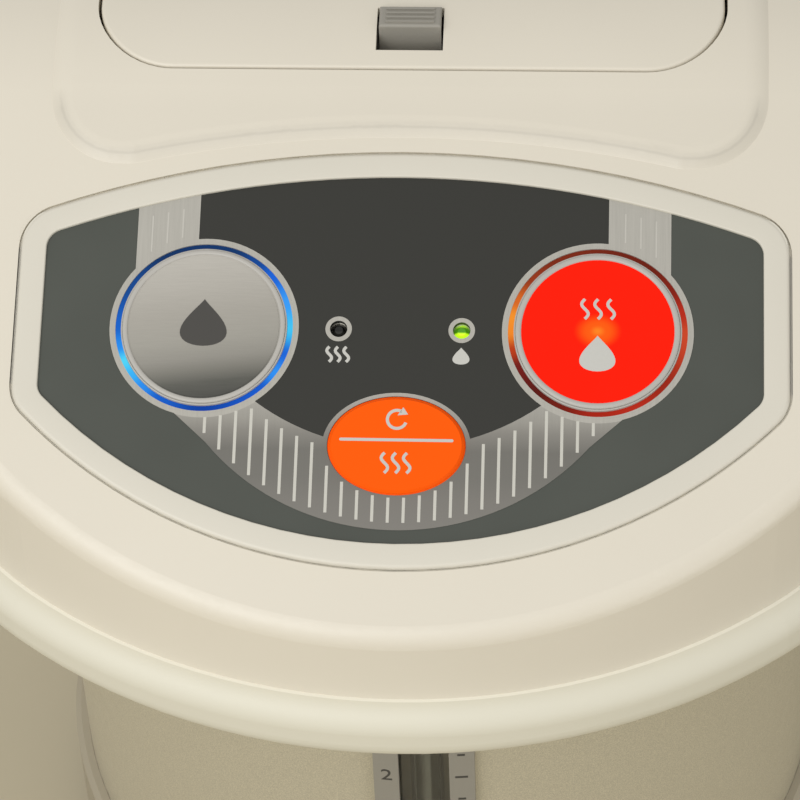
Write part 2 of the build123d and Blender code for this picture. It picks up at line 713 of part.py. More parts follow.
# Two magnet driven pumps: housings, motors below them and vaned rotors inside
with BuildPart() as pump_housings:
    with BuildSketch(Plane.XY.offset(PUMP_LOW)):
        with Locations(PUMPS):
            Circle(PUMP_R)
    extrude(amount=PUMP_TOP - PUMP_LOW)
    chamfer(pump_housings.edges().group_by(Axis.Z)[-1], 1.5)
    with BuildSketch(Plane.XY.offset(PUMP_TOP)):
        with Locations(PUMPS):
            Circle(STUB_R)
    extrude(amount=7)
    with BuildSketch(Plane.XZ.offset(-PUMP_Y)):
        with Locations((PUMP_X, OUTLET_Z)):
            Circle(4.5)
    extrude(amount=PUMP_R + 6)
    with BuildSketch(Plane.YZ.offset(-PUMP_X)):
        with Locations((PUMP_Y, OUTLET_Z)):
            Circle(4.5)
    extrude(amount=-PUMP_R - 4)
    with BuildSketch(Plane.XY.offset(PUMP_LOW)):
        with Locations(PUMPS):
            Circle(CHAMBER_R)
    extrude(amount=PUMP_TOP - PUMP_LOW - 3, mode=Mode.SUBTRACT)
    with BuildSketch(Plane.XY.offset(PUMP_LOW + 1)):
        with Locations(PUMPS):
            Circle(3.4)
    extrude(amount=PUMP_TOP + 7 - PUMP_LOW, mode=Mode.SUBTRACT)
    with BuildSketch(Plane.XZ.offset(-PUMP_Y + 8)):
        with Locations((PUMP_X, OUTLET_Z)):
            Circle(2.6)
    extrude(amount=PUMP_R + 6, mode=Mode.SUBTRACT)
    with BuildSketch(Plane.YZ.offset(-PUMP_X - 8)):
        with Locations((PUMP_Y, OUTLET_Z)):
            Circle(2.6)
    extrude(amount=-PUMP_R - 6, mode=Mode.SUBTRACT)

with BuildPart() as pump_motors:
    with BuildSketch(Plane.XY.offset(BASE_FLOOR_Z + FLOOR_T)):
        with Locations(PUMPS):
            Circle(MOTOR_R)
    extrude(amount=PUMP_LOW - BASE_FLOOR_Z - FLOOR_T - 1)
    chamfer(pump_motors.edges().group_by(Axis.Z)[0], 1.0)
    with BuildSketch(Plane.XY.offset(PUMP_LOW - 1)):
        with Locations(PUMPS):
            Circle(PUMP_R)
    extrude(amount=1)
    with BuildSketch(Plane.XY.offset(PUMP_LOW)):
        with Locations(PUMPS):
            Circle(1.5)
    extrude(amount=10)

BLADES = 5
rotors = []
for number, (x, y) in enumerate(PUMPS):
    with BuildPart() as rotor:
        with BuildSketch(Plane.XY.offset(PUMP_LOW + 1.0)):
            with Locations((x, y)):
                Circle(11.5)
        extrude(amount=2.5)
        with BuildSketch(Plane.XY.offset(PUMP_LOW + 3.5)):
            with Locations((x, y)):
                Circle(3.2)
        extrude(amount=6)
        with BuildSketch(Plane.XY.offset(PUMP_LOW + 3.5)):
            with Locations((x, y)):
                with PolarLocations(7.0, BLADES):
                    Rectangle(8.6, 1.2, rotation=25)
        extrude(amount=5)
        with BuildSketch(Plane.XY.offset(PUMP_LOW + 1.0)):
            with Locations((x, y)):
                Circle(1.5 + RUNNING)
        extrude(amount=12, mode=Mode.SUBTRACT)
    rotors.append(rotor)
hot_impeller, warm_impeller = rotors

with BuildPart() as pump_hoses:
    with BuildSketch(Plane.XY.offset(PUMP_TOP + 1)):
        with Locations(PUMPS):
            Circle(STUB_R + 1.6)
        with Locations(PUMPS):
            Circle(STUB_R, mode=Mode.SUBTRACT)
    extrude(amount=POT_Z - PUMP_TOP - 2)

# Pipes: hot water goes straight up the front, warm water first goes through a cooling loop
FEED_X = -PUMP_X - PUMP_R - 4
LOOP_X = FEED_X - 7
LOOP_END_Y = -20.0
LOOP_LAST_X = LOOP_X - 3 * LOOP_STEP
WALL_RUN_R = BODY_R - 7.5
WALL_RUN = (-WALL_RUN_R * math.sin(math.radians(35)), -WALL_RUN_R * math.cos(math.radians(35)), LOOP_Z + 2)

loop_route = [(LOOP_X, PUMP_Y, LOOP_Z + 12), (LOOP_X, PUMP_Y, LOOP_Z), (LOOP_X, LOOP_BACK_Y, LOOP_Z)]
loop_route += [(LOOP_X - LOOP_STEP, LOOP_BACK_Y, LOOP_Z), (LOOP_X - LOOP_STEP, LOOP_FRONT_Y, LOOP_Z)]
loop_route += [(LOOP_X - 2 * LOOP_STEP, LOOP_FRONT_Y, LOOP_Z), (LOOP_X - 2 * LOOP_STEP, LOOP_BACK_Y, LOOP_Z)]
loop_route += [(LOOP_LAST_X, LOOP_BACK_Y, LOOP_Z), (LOOP_LAST_X, LOOP_END_Y, LOOP_Z)]
feed_route = [(FEED_X, PUMP_Y, OUTLET_Z), (LOOP_X, PUMP_Y, OUTLET_Z), (LOOP_X, PUMP_Y, LOOP_Z + 12)]
warm_route = [(LOOP_LAST_X, LOOP_END_Y, LOOP_Z), (LOOP_LAST_X, LOOP_END_Y - 16, LOOP_Z), WALL_RUN]
warm_route += [(-RISER_X - 9, RISER_Y, LOOP_Z + 8), (-RISER_X, RISER_Y, BASE_TOP_Z + 14)]
warm_route += [(-RISER_X, RISER_Y, VALVE_LOW)]
hot_route = [(PUMP_X, PUMP_Y - PUMP_R - 6, OUTLET_Z), (PUMP_X, RISER_Y + 16, OUTLET_Z)]
hot_route += [(RISER_X, RISER_Y, OUTLET_Z + 16), (RISER_X, RISER_Y, VALVE_LOW)]

cooling_tube = tube(loop_route, LOOP_TUBE, LOOP_STEP / 2 - 0.1)
feed_tube = tube(feed_route, LOOP_TUBE, 5.0)
warm_tube = tube(warm_route, TUBE_OUT, 10.0)
hot_tube = tube(hot_route, TUBE_OUT, 12.0)

with BuildPart() as cooling_loop:
    add(feed_tube)
    add(cooling_tube)

with BuildPart() as warm_riser:
    add(warm_tube)

with BuildPart() as hot_riser:
    add(hot_tube)

RISERS = [(RISER_X, RISER_Y), (-RISER_X, RISER_Y)]

with BuildPart() as tip_valves:
    with BuildSketch(Plane.XY.offset(VALVE_LOW)):
        with Locations(RISERS):
            Circle(VALVE_R)
    extrude(amount=VALVE_TOP - VALVE_LOW)
    chamfer(tip_valves.edges().filter_by(GeomType.CIRCLE), 1.2)

SPOUT_TOP = BEAK_LOW_Z + 9

elbow_tubes = []
for side in (-1, 1):
    elbow_route = [(side * RISER_X, RISER_Y, VALVE_TOP), (side * RISER_X, RISER_Y, ELBOW_Z)]
    elbow_route += [(side * SPOUT_X, SPOUT_Y, ELBOW_Z), (side * SPOUT_X, SPOUT_Y, SPOUT_TOP)]
    elbow_tubes.append(tube(elbow_route, TUBE_OUT, 8.0))

with BuildPart() as spout_elbows:
    for elbow in elbow_tubes:
        add(elbow)

SPOUTS = [(SPOUT_X, SPOUT_Y), (-SPOUT_X, SPOUT_Y)]

with BuildPart() as spouts:
    with BuildSketch(Plane.XY.offset(BEAK_LOW_Z - 11)):
        with Locations(SPOUTS):
            Circle(4.6)
    extrude(amount=11 + BEAK_WALL)
    chamfer(spouts.edges().group_by(Axis.Z)[0], 0.8)
    with BuildSketch(Plane.XY.offset(BEAK_LOW_Z + BEAK_WALL)):
        with Locations(SPOUTS):
            Circle(6.2)
    extrude(amount=SPOUT_TOP - BEAK_LOW_Z - BEAK_WALL)
    with BuildSketch(Plane.XY.offset(BEAK_LOW_Z - 11)):
        with Locations(SPOUTS):
            Circle(3.0)
    extrude(amount=20, mode=Mode.SUBTRACT)

# Beak below the collar, its walls sloping in to the flat floor with the two spouts
BEAK_FLOOR_IN = BEAK_IN + BEAK_H * math.tan(math.radians(BEAK_SLOPE))

with BuildPart() as spout_housing:
    with BuildSketch(Plane.XY.offset(BEAK_LOW_Z)):
        add(head_outline(-BEAK_FLOOR_IN))
    extrude(amount=BEAK_H, taper=-BEAK_SLOPE)
    with BuildSketch(Plane.XY.offset(BEAK_LOW_Z + BEAK_WALL)):
        add(head_outline(-BEAK_FLOOR_IN - 1.5))
    extrude(amount=BEAK_H, taper=-BEAK_SLOPE, mode=Mode.SUBTRACT)
    with BuildSketch(Plane.XY.offset(BEAK_LOW_Z)):
        Circle(BODY_R + 0.1)
    extrude(amount=BEAK_H, mode=Mode.SUBTRACT)
    with BuildSketch(Plane.XY.offset(BEAK_LOW_Z)):
        with Locations(SPOUTS):
            Circle(4.7)
    extrude(amount=BEAK_WALL, mode=Mode.SUBTRACT)

# Collar round the top of the body, with a floor under the head
with BuildPart() as collar:
    with BuildSketch(Plane.XY.offset(COLLAR_LOW_Z)):
        add(head_outline(COLLAR_OUT))
    extrude(amount=COLLAR_H)
    fillet(collar.edges().group_by(Axis.Z)[-1], COLLAR_TOP_R)
    fillet(collar.edges().group_by(Axis.Z)[0], COLLAR_LOW_R)
    with BuildSketch(Plane.XY.offset(COLLAR_LOW_Z + COLLAR_FLOOR)):
        add(head_outline(-COLLAR_IN))
    extrude(amount=COLLAR_H, mode=Mode.SUBTRACT)
    with BuildSketch(Plane.XY.offset(COLLAR_LOW_Z)):
        Circle(BODY_R + 0.1)
        add(head_outline(-BEAK_IN - 6))
    extrude(amount=COLLAR_FLOOR, mode=Mode.SUBTRACT)

# Head cover: the top, its sloping front, the raised field with the lid pan and the panel opening
field = standing(field_outline(FIELD_SPREAD), PART_Z + 20, PAN_Z + 40) & under_top(RAISED)
field_edges = field.edges().filter_by(lambda e: e.center().Z > PART_Z + 22)
field_rim = field_edges.filter_by(Axis.X, reverse=True).filter_by(Axis.Z, reverse=True)
field = fillet(field_rim, FIELD_SOFT_R)
hollow = standing(head_outline(-COVER_WALL), PART_Z - 1, PAN_Z + 40) & under_top(-COVER_WALL)
pocket = Pos(0, (PIN_Y + 7.2 + 50) / 2) * Rectangle(80, PIN_Y + 7.2 - 50)
recess_plan = lid_outline(LID_GAP, 400) + pocket
pan_plan = lid_outline(LID_GAP + PAN_T, 400) + offset(pocket, PAN_T, kind=Kind.INTERSECTION)
pan_block = standing(pan_plan, PAN_Z - PAN_T, PAN_Z + 40) & under_top(-1.0)

with BuildPart() as head_cover:
    with BuildSketch(Plane.XY.offset(PART_Z)):
        add(head_outline(0))
    extrude(amount=90)
    add(under_top(0), mode=Mode.INTERSECT)
    raised_edges = head_cover.edges().filter_by(lambda e: e.bounding_box().min.Z > PART_Z + 2)
    fillet(raised_edges.filter_by(Axis.X, reverse=True).filter_by(Axis.Z, reverse=True), CREASE_R)
    add(field)
    add(hollow, mode=Mode.SUBTRACT)
    add(pan_block)
    with BuildSketch(on_panel(-PANEL_DEEP - 2.4)):
        add(panel_outline(PANEL_GAP + 2.4))
    extrude(amount=PANEL_DEEP + 1.4)
    with BuildSketch(on_panel(-PANEL_DEEP)):
        add(panel_outline(PANEL_GAP))
    extrude(amount=PANEL_DEEP + 12, mode=Mode.SUBTRACT)
    with BuildSketch(on_panel(-PANEL_DEEP - 6)):
        add(panel_outline(-4.0))
    extrude(amount=8, mode=Mode.SUBTRACT)
    with BuildSketch(Plane.XY.offset(PAN_Z)):
        add(recess_plan)
    extrude(amount=40, mode=Mode.SUBTRACT)
    with BuildSketch(Plane.XY.offset(PAN_Z - PAN_T)):
        Circle(MOUTH_R + MOUTH_WALL + SLIP)
    extrude(amount=PAN_T, mode=Mode.SUBTRACT)
    for side in (-1, 1):
        with BuildSketch(Plane.YZ.offset(side * LUG_X)):
            with Locations((PIN_Y, PIN_Z)):
                Circle(LUG_R)
            with Locations((PIN_Y, (PIN_Z + PAN_Z) / 2)):
                Rectangle(2 * LUG_R, PIN_Z - PAN_Z)
        extrude(amount=side * LUG_W)
    with BuildSketch(Plane.YZ.offset(-40)):
        with Locations((PIN_Y, PIN_Z)):
            Circle(PIN_R)
    extrude(amount=80, mode=Mode.SUBTRACT)
    with BuildSketch(Plane.XY.offset(PAN_Z + 2.2)):
        with Locations((0, LID_FRONT_Y - 3)):
            Rectangle(18, 8)
    extrude(amount=4.6, mode=Mode.SUBTRACT)
    for side in (-1, 1):
        with BuildSketch(Plane.YZ.offset(side * (HEAD_W - 5))):
            with Locations((0, HANDLE_Z)):
                Circle(PIVOT_BOSS_R)
        extrude(amount=side * 6)
    with BuildSketch(Plane.YZ.offset(-HEAD_W - 20)):
        with Locations((0, HANDLE_Z)):
            Circle(PIVOT_R)
    extrude(amount=2 * HEAD_W + 40, mode=Mode.SUBTRACT)

PIN_HALF = LUG_X + LUG_W + 0.6

with BuildPart() as hinge_pin:
    with BuildSketch(Plane.YZ.offset(-PIN_HALF)):
        with Locations((PIN_Y, PIN_Z)):
            Circle(PIN_R)
    extrude(amount=2 * PIN_HALF)

PIVOT_IN = 5.0
PIVOT_OUT = 10.4
PIVOT_CAP_R = 7.6
PIVOT_CAP_T = 2.4
PIVOT_BREAK = 1.0

with BuildPart() as handle_pins:
    for side in (-1, 1):
        with BuildSketch(Plane.YZ.offset(side * (HEAD_W - PIVOT_IN))):
            with Locations((0, HANDLE_Z)):
                Circle(PIVOT_R)
        extrude(amount=side * (PIVOT_IN + PIVOT_OUT))
        with BuildSketch(Plane.YZ.offset(side * (HEAD_W + PIVOT_OUT))):
            with Locations((0, HANDLE_Z)):
                Circle(PIVOT_CAP_R)
        extrude(amount=side * PIVOT_CAP_T)
    chamfer(handle_pins.edges().group_by(Axis.X)[-1], PIVOT_BREAK)
    chamfer(handle_pins.edges().group_by(Axis.X)[0], PIVOT_BREAK)

# The grip reaches far enough back to swing up past the rear edge of the head
HEAD_SWEEP = math.hypot(HEAD_W - CREASE_R, LEVEL_Z - CREASE_R - HANDLE_Z) + CREASE_R
HANDLE_BACK = HEAD_SWEEP + HANDLE_SWING + GRIP_IN
HANDLE_BEND = 53.0
HANDLE_DEEP = 12.0
PIVOT_ROOM = 1.4
GRIP_W = 90.0
GRIP_H = 18.0
GRIP_CORNER = 6.0
HANDLE_ROUND = 2.5

handle_inner = Pos(0, HANDLE_BACK - HEAD_W) * Rectangle(2 * HANDLE_IN, 2 * HEAD_W)
handle_inner = fillet(handle_inner.vertices().group_by(Axis.Y)[-1], HANDLE_BEND)
handle_outer = Pos(0, HANDLE_BACK + HANDLE_DEEP - HEAD_W) * Rectangle(2 * (HANDLE_IN + HANDLE_T), 2 * HEAD_W)
handle_outer = fillet(handle_outer.vertices().group_by(Axis.Y)[-1], HANDLE_BEND + 0.75 * HANDLE_DEEP)
handle_plan = handle_outer - handle_inner - Pos(0, -HEAD_W) * Rectangle(4 * HANDLE_IN, 2 * HEAD_W)

with BuildPart() as handle:
    with BuildSketch(Plane.XY.offset(HANDLE_Z - HANDLE_H / 2)):
        add(handle_plan)
    extrude(amount=HANDLE_H)
    fillet(handle.edges().group_by(Axis.Z)[-1], HANDLE_ROUND)
    fillet(handle.edges().group_by(Axis.Z)[0], HANDLE_ROUND)
    with BuildSketch(Plane.XZ.offset(-HANDLE_BACK - HANDLE_DEEP / 2)):
        with Locations((0, HANDLE_Z)):
            RectangleRounded(GRIP_W, GRIP_H, GRIP_CORNER)
    extrude(amount=HANDLE_DEEP / 2 + GRIP_IN, both=True)
    for side in (-1, 1):
        with BuildSketch(Plane.YZ.offset(side * (HEAD_W + PIVOT_ROOM))):
            with Locations((0, HANDLE_Z)):
                Circle(PIVOT_BOSS_R)
        extrude(amount=side * (PIVOT_OUT - PIVOT_ROOM - 0.4))
    with BuildSketch(Plane.YZ.offset(-2 * HEAD_W)):
        with Locations((0, HANDLE_Z)):
            Circle(PIVOT_R + RUNNING)
    extrude(amount=4 * HEAD_W, mode=Mode.SUBTRACT)

# Control panel
FLOOR_H = -LABEL_DOWN - LABEL_T
BUTTONS = [(-BUTTON_X, 0), (BUTTON_X, 0)]
LAMPS = [(-LAMP_X, 0), (LAMP_X, 0)]
BOSSES = [(-62, 12), (62, 12), (-58.5, -14), (58.5, -14)]

with BuildPart() as bezel:
    with BuildSketch(on_panel(-PANEL_DEEP)):
        add(panel_outline(0))
    extrude(amount=PANEL_DEEP + BEZEL_UP)
    top_edge = bezel.faces().filter_by(lambda f: f.normal_at().dot(Vector(NORMAL)) > 0.99).edges()
    chamfer(top_edge, 0.6)
    with BuildSketch(on_panel(FLOOR_H)):
        add(panel_outline(-LABEL_IN + 0.1))
    extrude(amount=PANEL_DEEP, mode=Mode.SUBTRACT)
    with BuildSketch(on_panel(-PANEL_DEEP)):
        with Locations(BUTTONS):
            Circle(RING_OUT + 0.1)
        with Locations((0, REBOIL_S)):
            Ellipse(REBOIL_A + KEY_GAP, REBOIL_B + KEY_GAP)
        with Locations(LAMPS):
            Circle(LAMP_HOLE)
    extrude(amount=PANEL_DEEP, mode=Mode.SUBTRACT)
    with BuildSketch(on_panel(-PANEL_DEEP)):
        with Locations(BOSSES):
            Circle(3.0)
    extrude(amount=-(-BOARD_H - PANEL_DEEP))
    with BuildSketch(on_panel(BOARD_H)):
        with Locations(BOSSES):
            Circle(1.2)
    extrude(amount=8, mode=Mode.SUBTRACT)

with BuildPart() as label_plate:
    with BuildSketch(on_panel(FLOOR_H)):
        add(panel_outline(-LABEL_IN))
        with Locations(BUTTONS):
            Circle(RING_OUT + 0.1, mode=Mode.SUBTRACT)
        with Locations((0, REBOIL_S)):
            Ellipse(REBOIL_A + KEY_GAP, REBOIL_B + KEY_GAP, mode=Mode.SUBTRACT)
        with Locations(LAMPS):
            Circle(LAMP_HOLE, mode=Mode.SUBTRACT)
    extrude(amount=LABEL_T)

with BuildPart() as silver_foil:
    with BuildSketch(on_panel(-LABEL_DOWN)):
        with Locations((0, SWOOP_OUT_C)):
            Circle(SWOOP_OUT_R)
        with Locations((0, SWOOP_IN_C)):
            Circle(SWOOP_IN_R, mode=Mode.SUBTRACT)
        for side in (-1, 1):
            with Locations((side * (BAND_IN + BAND_OUT) / 2, 25)):
                Rectangle(BAND_OUT - BAND_IN, 50)
        add(panel_outline(-LABEL_IN - 0.7), mode=Mode.INTERSECT)
        with Locations(BUTTONS):
            Circle(FOIL_R)
        with Locations((0, REBOIL_S)):
            Ellipse(REBOIL_RING_A, REBOIL_RING_B)
        with Locations(LAMPS):
            Circle(LAMP_RING)
        with Locations(BUTTONS):
            Circle(RING_OUT + 0.1, mode=Mode.SUBTRACT)
        with Locations((0, REBOIL_S)):
            Ellipse(REBOIL_A + KEY_GAP, REBOIL_B + KEY_GAP, mode=Mode.SUBTRACT)
        with Locations(LAMPS):
            Circle(LAMP_HOLE, mode=Mode.SUBTRACT)
    extrude(amount=FOIL_T)

light_rings = []
for x, s in BUTTONS:
    with BuildPart() as light_ring:
        with BuildSketch(on_panel(-PANEL_DEEP - 1.4)):
            with Locations((x, s)):
                Circle(RING_OUT)
                Circle(RING_IN, mode=Mode.SUBTRACT)
        extrude(amount=PANEL_DEEP + 1.4 - 0.45)
        with BuildSketch(on_panel(-PANEL_DEEP - 1.4)):
            with Locations((x, s)):
                Circle(RING_OUT + 2)
                Circle(RING_IN, mode=Mode.SUBTRACT)
        extrude(amount=1.4)
    light_rings.append(light_ring)
warm_light_ring, hot_light_ring = light_rings

SKIRT_H = -PANEL_DEEP - 3.0
PLUNGER_H = BOARD_H + SWITCH_CASE + SWITCH_STEM + RUNNING + TRAVEL
HUB_H = -5.5

caps = []
for x, s in BUTTONS:
    with BuildPart() as cap:
        with BuildSketch(on_panel(-3.0)):
            with Locations((x, s)):
                Circle(BUTTON_R)
        extrude(amount=3.0 + BUTTON_UP)
        face_edge = cap.faces().filter_by(lambda f: f.normal_at().dot(Vector(NORMAL)) > 0.99).edges()
        chamfer(face_edge, 0.5)
        with BuildSketch(on_panel(SKIRT_H)):
            with Locations((x, s)):
                Circle(BUTTON_R)
                Circle(BUTTON_R - 1.6, mode=Mode.SUBTRACT)
        extrude(amount=-SKIRT_H - 3.0)
        with BuildSketch(on_panel(SKIRT_H)):
            with Locations((x, s)):
                Circle(RING_OUT - 0.3)
                Circle(BUTTON_R - 1.6, mode=Mode.SUBTRACT)
        extrude(amount=1.1)
        with BuildSketch(on_panel(-3.0)):
            with Locations((x, s)):
                Circle(4.6)
        extrude(amount=HUB_H + 3.0)
        with BuildSketch(on_panel(HUB_H)):
            with Locations((x, s)):
                Circle(2.2)
        extrude(amount=PLUNGER_H - HUB_H)
        if x > 0:
            with BuildSketch(on_panel(BUTTON_UP)):
                with Locations((x, s)):
                    Circle(HOT_FACE_R + 0.05)
            extrude(amount=-1.2, mode=Mode.SUBTRACT)
    caps.append(cap)
warm_button, hot_button = caps

with BuildPart() as hot_lens:
    with BuildSketch(on_panel(BUTTON_UP - 1.2)):
        with Locations(BUTTONS[1]):
            Circle(HOT_FACE_R)
    extrude(amount=1.2)

with BuildPart() as reboil_button:
    with BuildSketch(on_panel(-3.0)):
        with Locations((0, REBOIL_S)):
            Ellipse(REBOIL_A, REBOIL_B)
    extrude(amount=3.0 + BUTTON_UP)
    oval_edge = reboil_button.faces().filter_by(lambda f: f.normal_at().dot(Vector(NORMAL)) > 0.99).edges()
    chamfer(oval_edge, 0.5)
    with BuildSketch(on_panel(-5.5)):
        with Locations((0, REBOIL_S)):
            Ellipse(REBOIL_A, REBOIL_B)
            Ellipse(REBOIL_A - 1.5, REBOIL_B - 1.5, mode=Mode.SUBTRACT)
    extrude(amount=2.5)
    with BuildSketch(on_panel(-5.5)):
        with Locations((0, REBOIL_S)):
            Ellipse(REBOIL_A + 1.4, REBOIL_B + 1.4)
            Ellipse(REBOIL_A - 1.5, REBOIL_B - 1.5, mode=Mode.SUBTRACT)
    extrude(amount=1.1)
    with BuildSketch(on_panel(-3.0)):
        with Locations((0, REBOIL_S)):
            Circle(4.6)
    extrude(amount=HUB_H + 3.0)
    with BuildSketch(on_panel(HUB_H)):
        with Locations((0, REBOIL_S)):
            Circle(2.2)
    extrude(amount=PLUNGER_H - HUB_H)

KEYS = BUTTONS + [(0, REBOIL_S)]
dome = Cone(7.6, 5.0, HUB_H - BOARD_H, align=(Align.CENTER, Align.CENTER, Align.MIN))
dome -= Cone(6.8, 4.2, HUB_H - BOARD_H - 0.8, align=(Align.CENTER, Align.CENTER, Align.MIN))
dome -= Cylinder(2.6, 30)

with BuildPart() as keypad_mat:
    for x, s in KEYS:
        add(on_panel(BOARD_H) * Pos(x, s, 0) * dome)

CARD_IN = 8.0
CARD_S = -9.5
CARD_L = 51.0
SCREW_PASS_R = 1.4
CHIPS = [(-20, -28), (22, -6)]
CHIP_W = 10.0
CHIP_L = 7.0
CHIP_H = 2.4

with BuildPart() as control_board:
    with BuildSketch(on_panel(BOARD_H - BOARD_T)):
        add(panel_outline(-CARD_IN))
        with Locations((0, CARD_S)):
            Rectangle(2 * PANEL_HALF, CARD_L, mode=Mode.INTERSECT)
        with Locations(BOSSES):
            Circle(SCREW_PASS_R, mode=Mode.SUBTRACT)
    extrude(amount=BOARD_T)
    with BuildSketch(on_panel(BOARD_H - BOARD_T)):
        with Locations(CHIPS):
            Rectangle(CHIP_W, CHIP_L)
    extrude(amount=-CHIP_H)

with BuildPart() as switches:
    with BuildSketch(on_panel(BOARD_H)):
        with Locations(KEYS):
            Rectangle(6, 6)
    extrude(amount=SWITCH_CASE)
    with BuildSketch(on_panel(BOARD_H + SWITCH_CASE)):
        with Locations(KEYS):
            Circle(1.6)
    extrude(amount=SWITCH_STEM)

BOARD_BACK = on_panel(BOARD_H - BOARD_T)
screw_head = Cylinder(2.6, 1.8, align=(Align.CENTER, Align.CENTER, Align.MIN))
screw_slot = Pos(0, 0, 1.8) * Box(5.4, 0.7, 1.4)
screw_shank = Cylinder(1.1, 6.0, align=(Align.CENTER, Align.CENTER, Align.MAX))
screw = screw_head - screw_slot + screw_shank

with BuildPart() as board_screws:
    for x, s in BOSSES:
        add(BOARD_BACK * Pos(x, s, 0) * Rot(180, 0, 0) * screw)
    for x, y in BOARD_HOLES:
        add(Pos(x, y, BOARD_Z + BOARD_T) * screw)

lamps = []
for x, s in LAMPS:
    with BuildPart() as lamp:
        with BuildSketch(on_panel(BOARD_H)):
            with Locations((x, s)):
                Circle(1.9)
        extrude(amount=1.0)
        with BuildSketch(on_panel(BOARD_H)):
            with Locations((x, s)):
                Circle(LAMP_R)
        extrude(amount=-BOARD_H - 0.9)
        lens_edge = lamp.faces().filter_by(lambda f: f.normal_at().dot(Vector(NORMAL)) > 0.99)
        chamfer(lens_edge.sort_by(lambda f: f.center().Z)[-1].edges(), 0.7)
    lamps.append(lamp)
led_left, led_right = lamps

# Electrics in the base
with BuildPart() as power_board:
    with BuildSketch(Plane.XY.offset(BOARD_Z)):
        with Locations((0, BOARD_Y)):
            Rectangle(BOARD_W, BOARD_L)
        with Locations(BOARD_HOLES):
            Circle(SCREW_PASS_R, mode=Mode.SUBTRACT)
    extrude(amount=BOARD_T)

COIL_X = -8.0
COIL_W = 26.0
COIL_L = 22.0
COIL_H = 20.0
RELAY_X = 16.0
RELAY_BACK = 6.0
RELAY_W = 12.0
RELAY_L = 20.0
RELAY_H = 14.0
CAN_R = 4.0
CAN_H = 12.0
CAN_STEP = 10.0
CAN_IN = 8.0
CANS = [(CAN_STEP + CAN_R, BOARD_Y - CAN_R - CAN_IN), (2 * CAN_STEP + CAN_R, BOARD_Y - CAN_IN)]

with BuildPart() as power_parts:
    with BuildSketch(Plane.XY.offset(BOARD_Z + BOARD_T)):
        with Locations((COIL_X, BOARD_Y)):
            Rectangle(COIL_W, COIL_L)
    extrude(amount=COIL_H)
    with BuildSketch(Plane.XY.offset(BOARD_Z + BOARD_T)):
        with Locations((RELAY_X, BOARD_Y + RELAY_BACK)):
            Rectangle(RELAY_W, RELAY_L)
    extrude(amount=RELAY_H)
    with BuildSketch(Plane.XY.offset(BOARD_Z + BOARD_T)):
        with Locations(CANS):
            Circle(CAN_R)
    extrude(amount=CAN_H)

# The lead climbs between the jacket and the shell
LEAD_R = BODY_R - 3.0
lead_x = -LEAD_R * math.cos(math.radians(20))
lead_y = -LEAD_R * math.sin(math.radians(20))
socket = BOARD_BACK.from_local_coords((-44, -8, 0))
below = BOARD_BACK.from_local_coords((-44, -8, -9))
lead_route = [(-26, BOARD_Y - 8, BOARD_Z + BOARD_T), (-26, BOARD_Y - 8, BASE_TOP_Z + 8)]
lead_route += [(lead_x, lead_y, BASE_TOP_Z + 16), (lead_x, lead_y, PART_Z - 3)]
lead_route += [(below.X, below.Y, below.Z), (socket.X, socket.Y, socket.Z)]
lead = tube(lead_route, 1.5, 7.0)

with BuildPart() as wire_harness:
    add(lead)

# Lid with its lining, gasket, steam outlet and sliding lock
LOCK_Z = LID_LOW_Z + 2.3
lid_block = standing(lid_outline(0, LID_REAR_Y), LID_LOW_Z, PAN_Z + 40) & under_top(RAISED)
lid_room = lid_outline(-LID_WALL, LID_REAR_Y - LID_WALL)
lid_hollow = standing(lid_room, LID_LOW_Z - 1, PAN_Z + 40) & under_top(RAISED - LID_TOP)
STEAM_Y = 38.0

with BuildPart() as lid_cover:
    add(lid_block)
    rim = lid_cover.edges().filter_by(lambda e: e.bounding_box().min.Z > LID_LOW_Z + 3)
    fillet(rim.filter_by(Axis.X, reverse=True).filter_by(Axis.Z, reverse=True), 0.8)
    add(lid_hollow, mode=Mode.SUBTRACT)
    for side in (-1, 1):
        with BuildSketch(Plane.YZ.offset(side * (LUG_X - LUG_W - 0.4))):
            with Locations((PIN_Y, PIN_Z)):
                Circle(LUG_R)
            with Locations((PIN_Y - 4, PIN_Z)):
                Rectangle(8, 2 * LUG_R)
        extrude(amount=side * LUG_W)
    with BuildSketch(Plane.YZ.offset(-60)):
        with Locations((PIN_Y, PIN_Z)):
            Circle(PIN_R + RUNNING)
    extrude(amount=120, mode=Mode.SUBTRACT)
    with BuildSketch(Plane.XY.offset(PAN_Z)):
        with Locations((0, STEAM_Y)):
            Circle(5.2)
        with Locations((0, LID_FRONT_Y + 11.5 - LOCK_TRAVEL / 2)):
            Rectangle(13.8, 7 + LOCK_TRAVEL)
    extrude(amount=30, mode=Mode.SUBTRACT)
    with BuildSketch(Plane.XY.offset(LOCK_Z - 0.4)):
        with Locations((0, LID_FRONT_Y + LID_WALL / 2)):
            Rectangle(17, LID_WALL + 3)
    extrude(amount=4.2, mode=Mode.SUBTRACT)

LINING_T = 2.0
LINING_IN = 2.4
PLUG_DEEP = 22.0
PLUG_IN = 5.0
PLUG_BREAK = 2.5
RIB_T = 1.4
RIB_IN = 2.6
RIB_DOWN = 8.0
SEAL_W = 3.6
SEAL_ROOM = 0.4

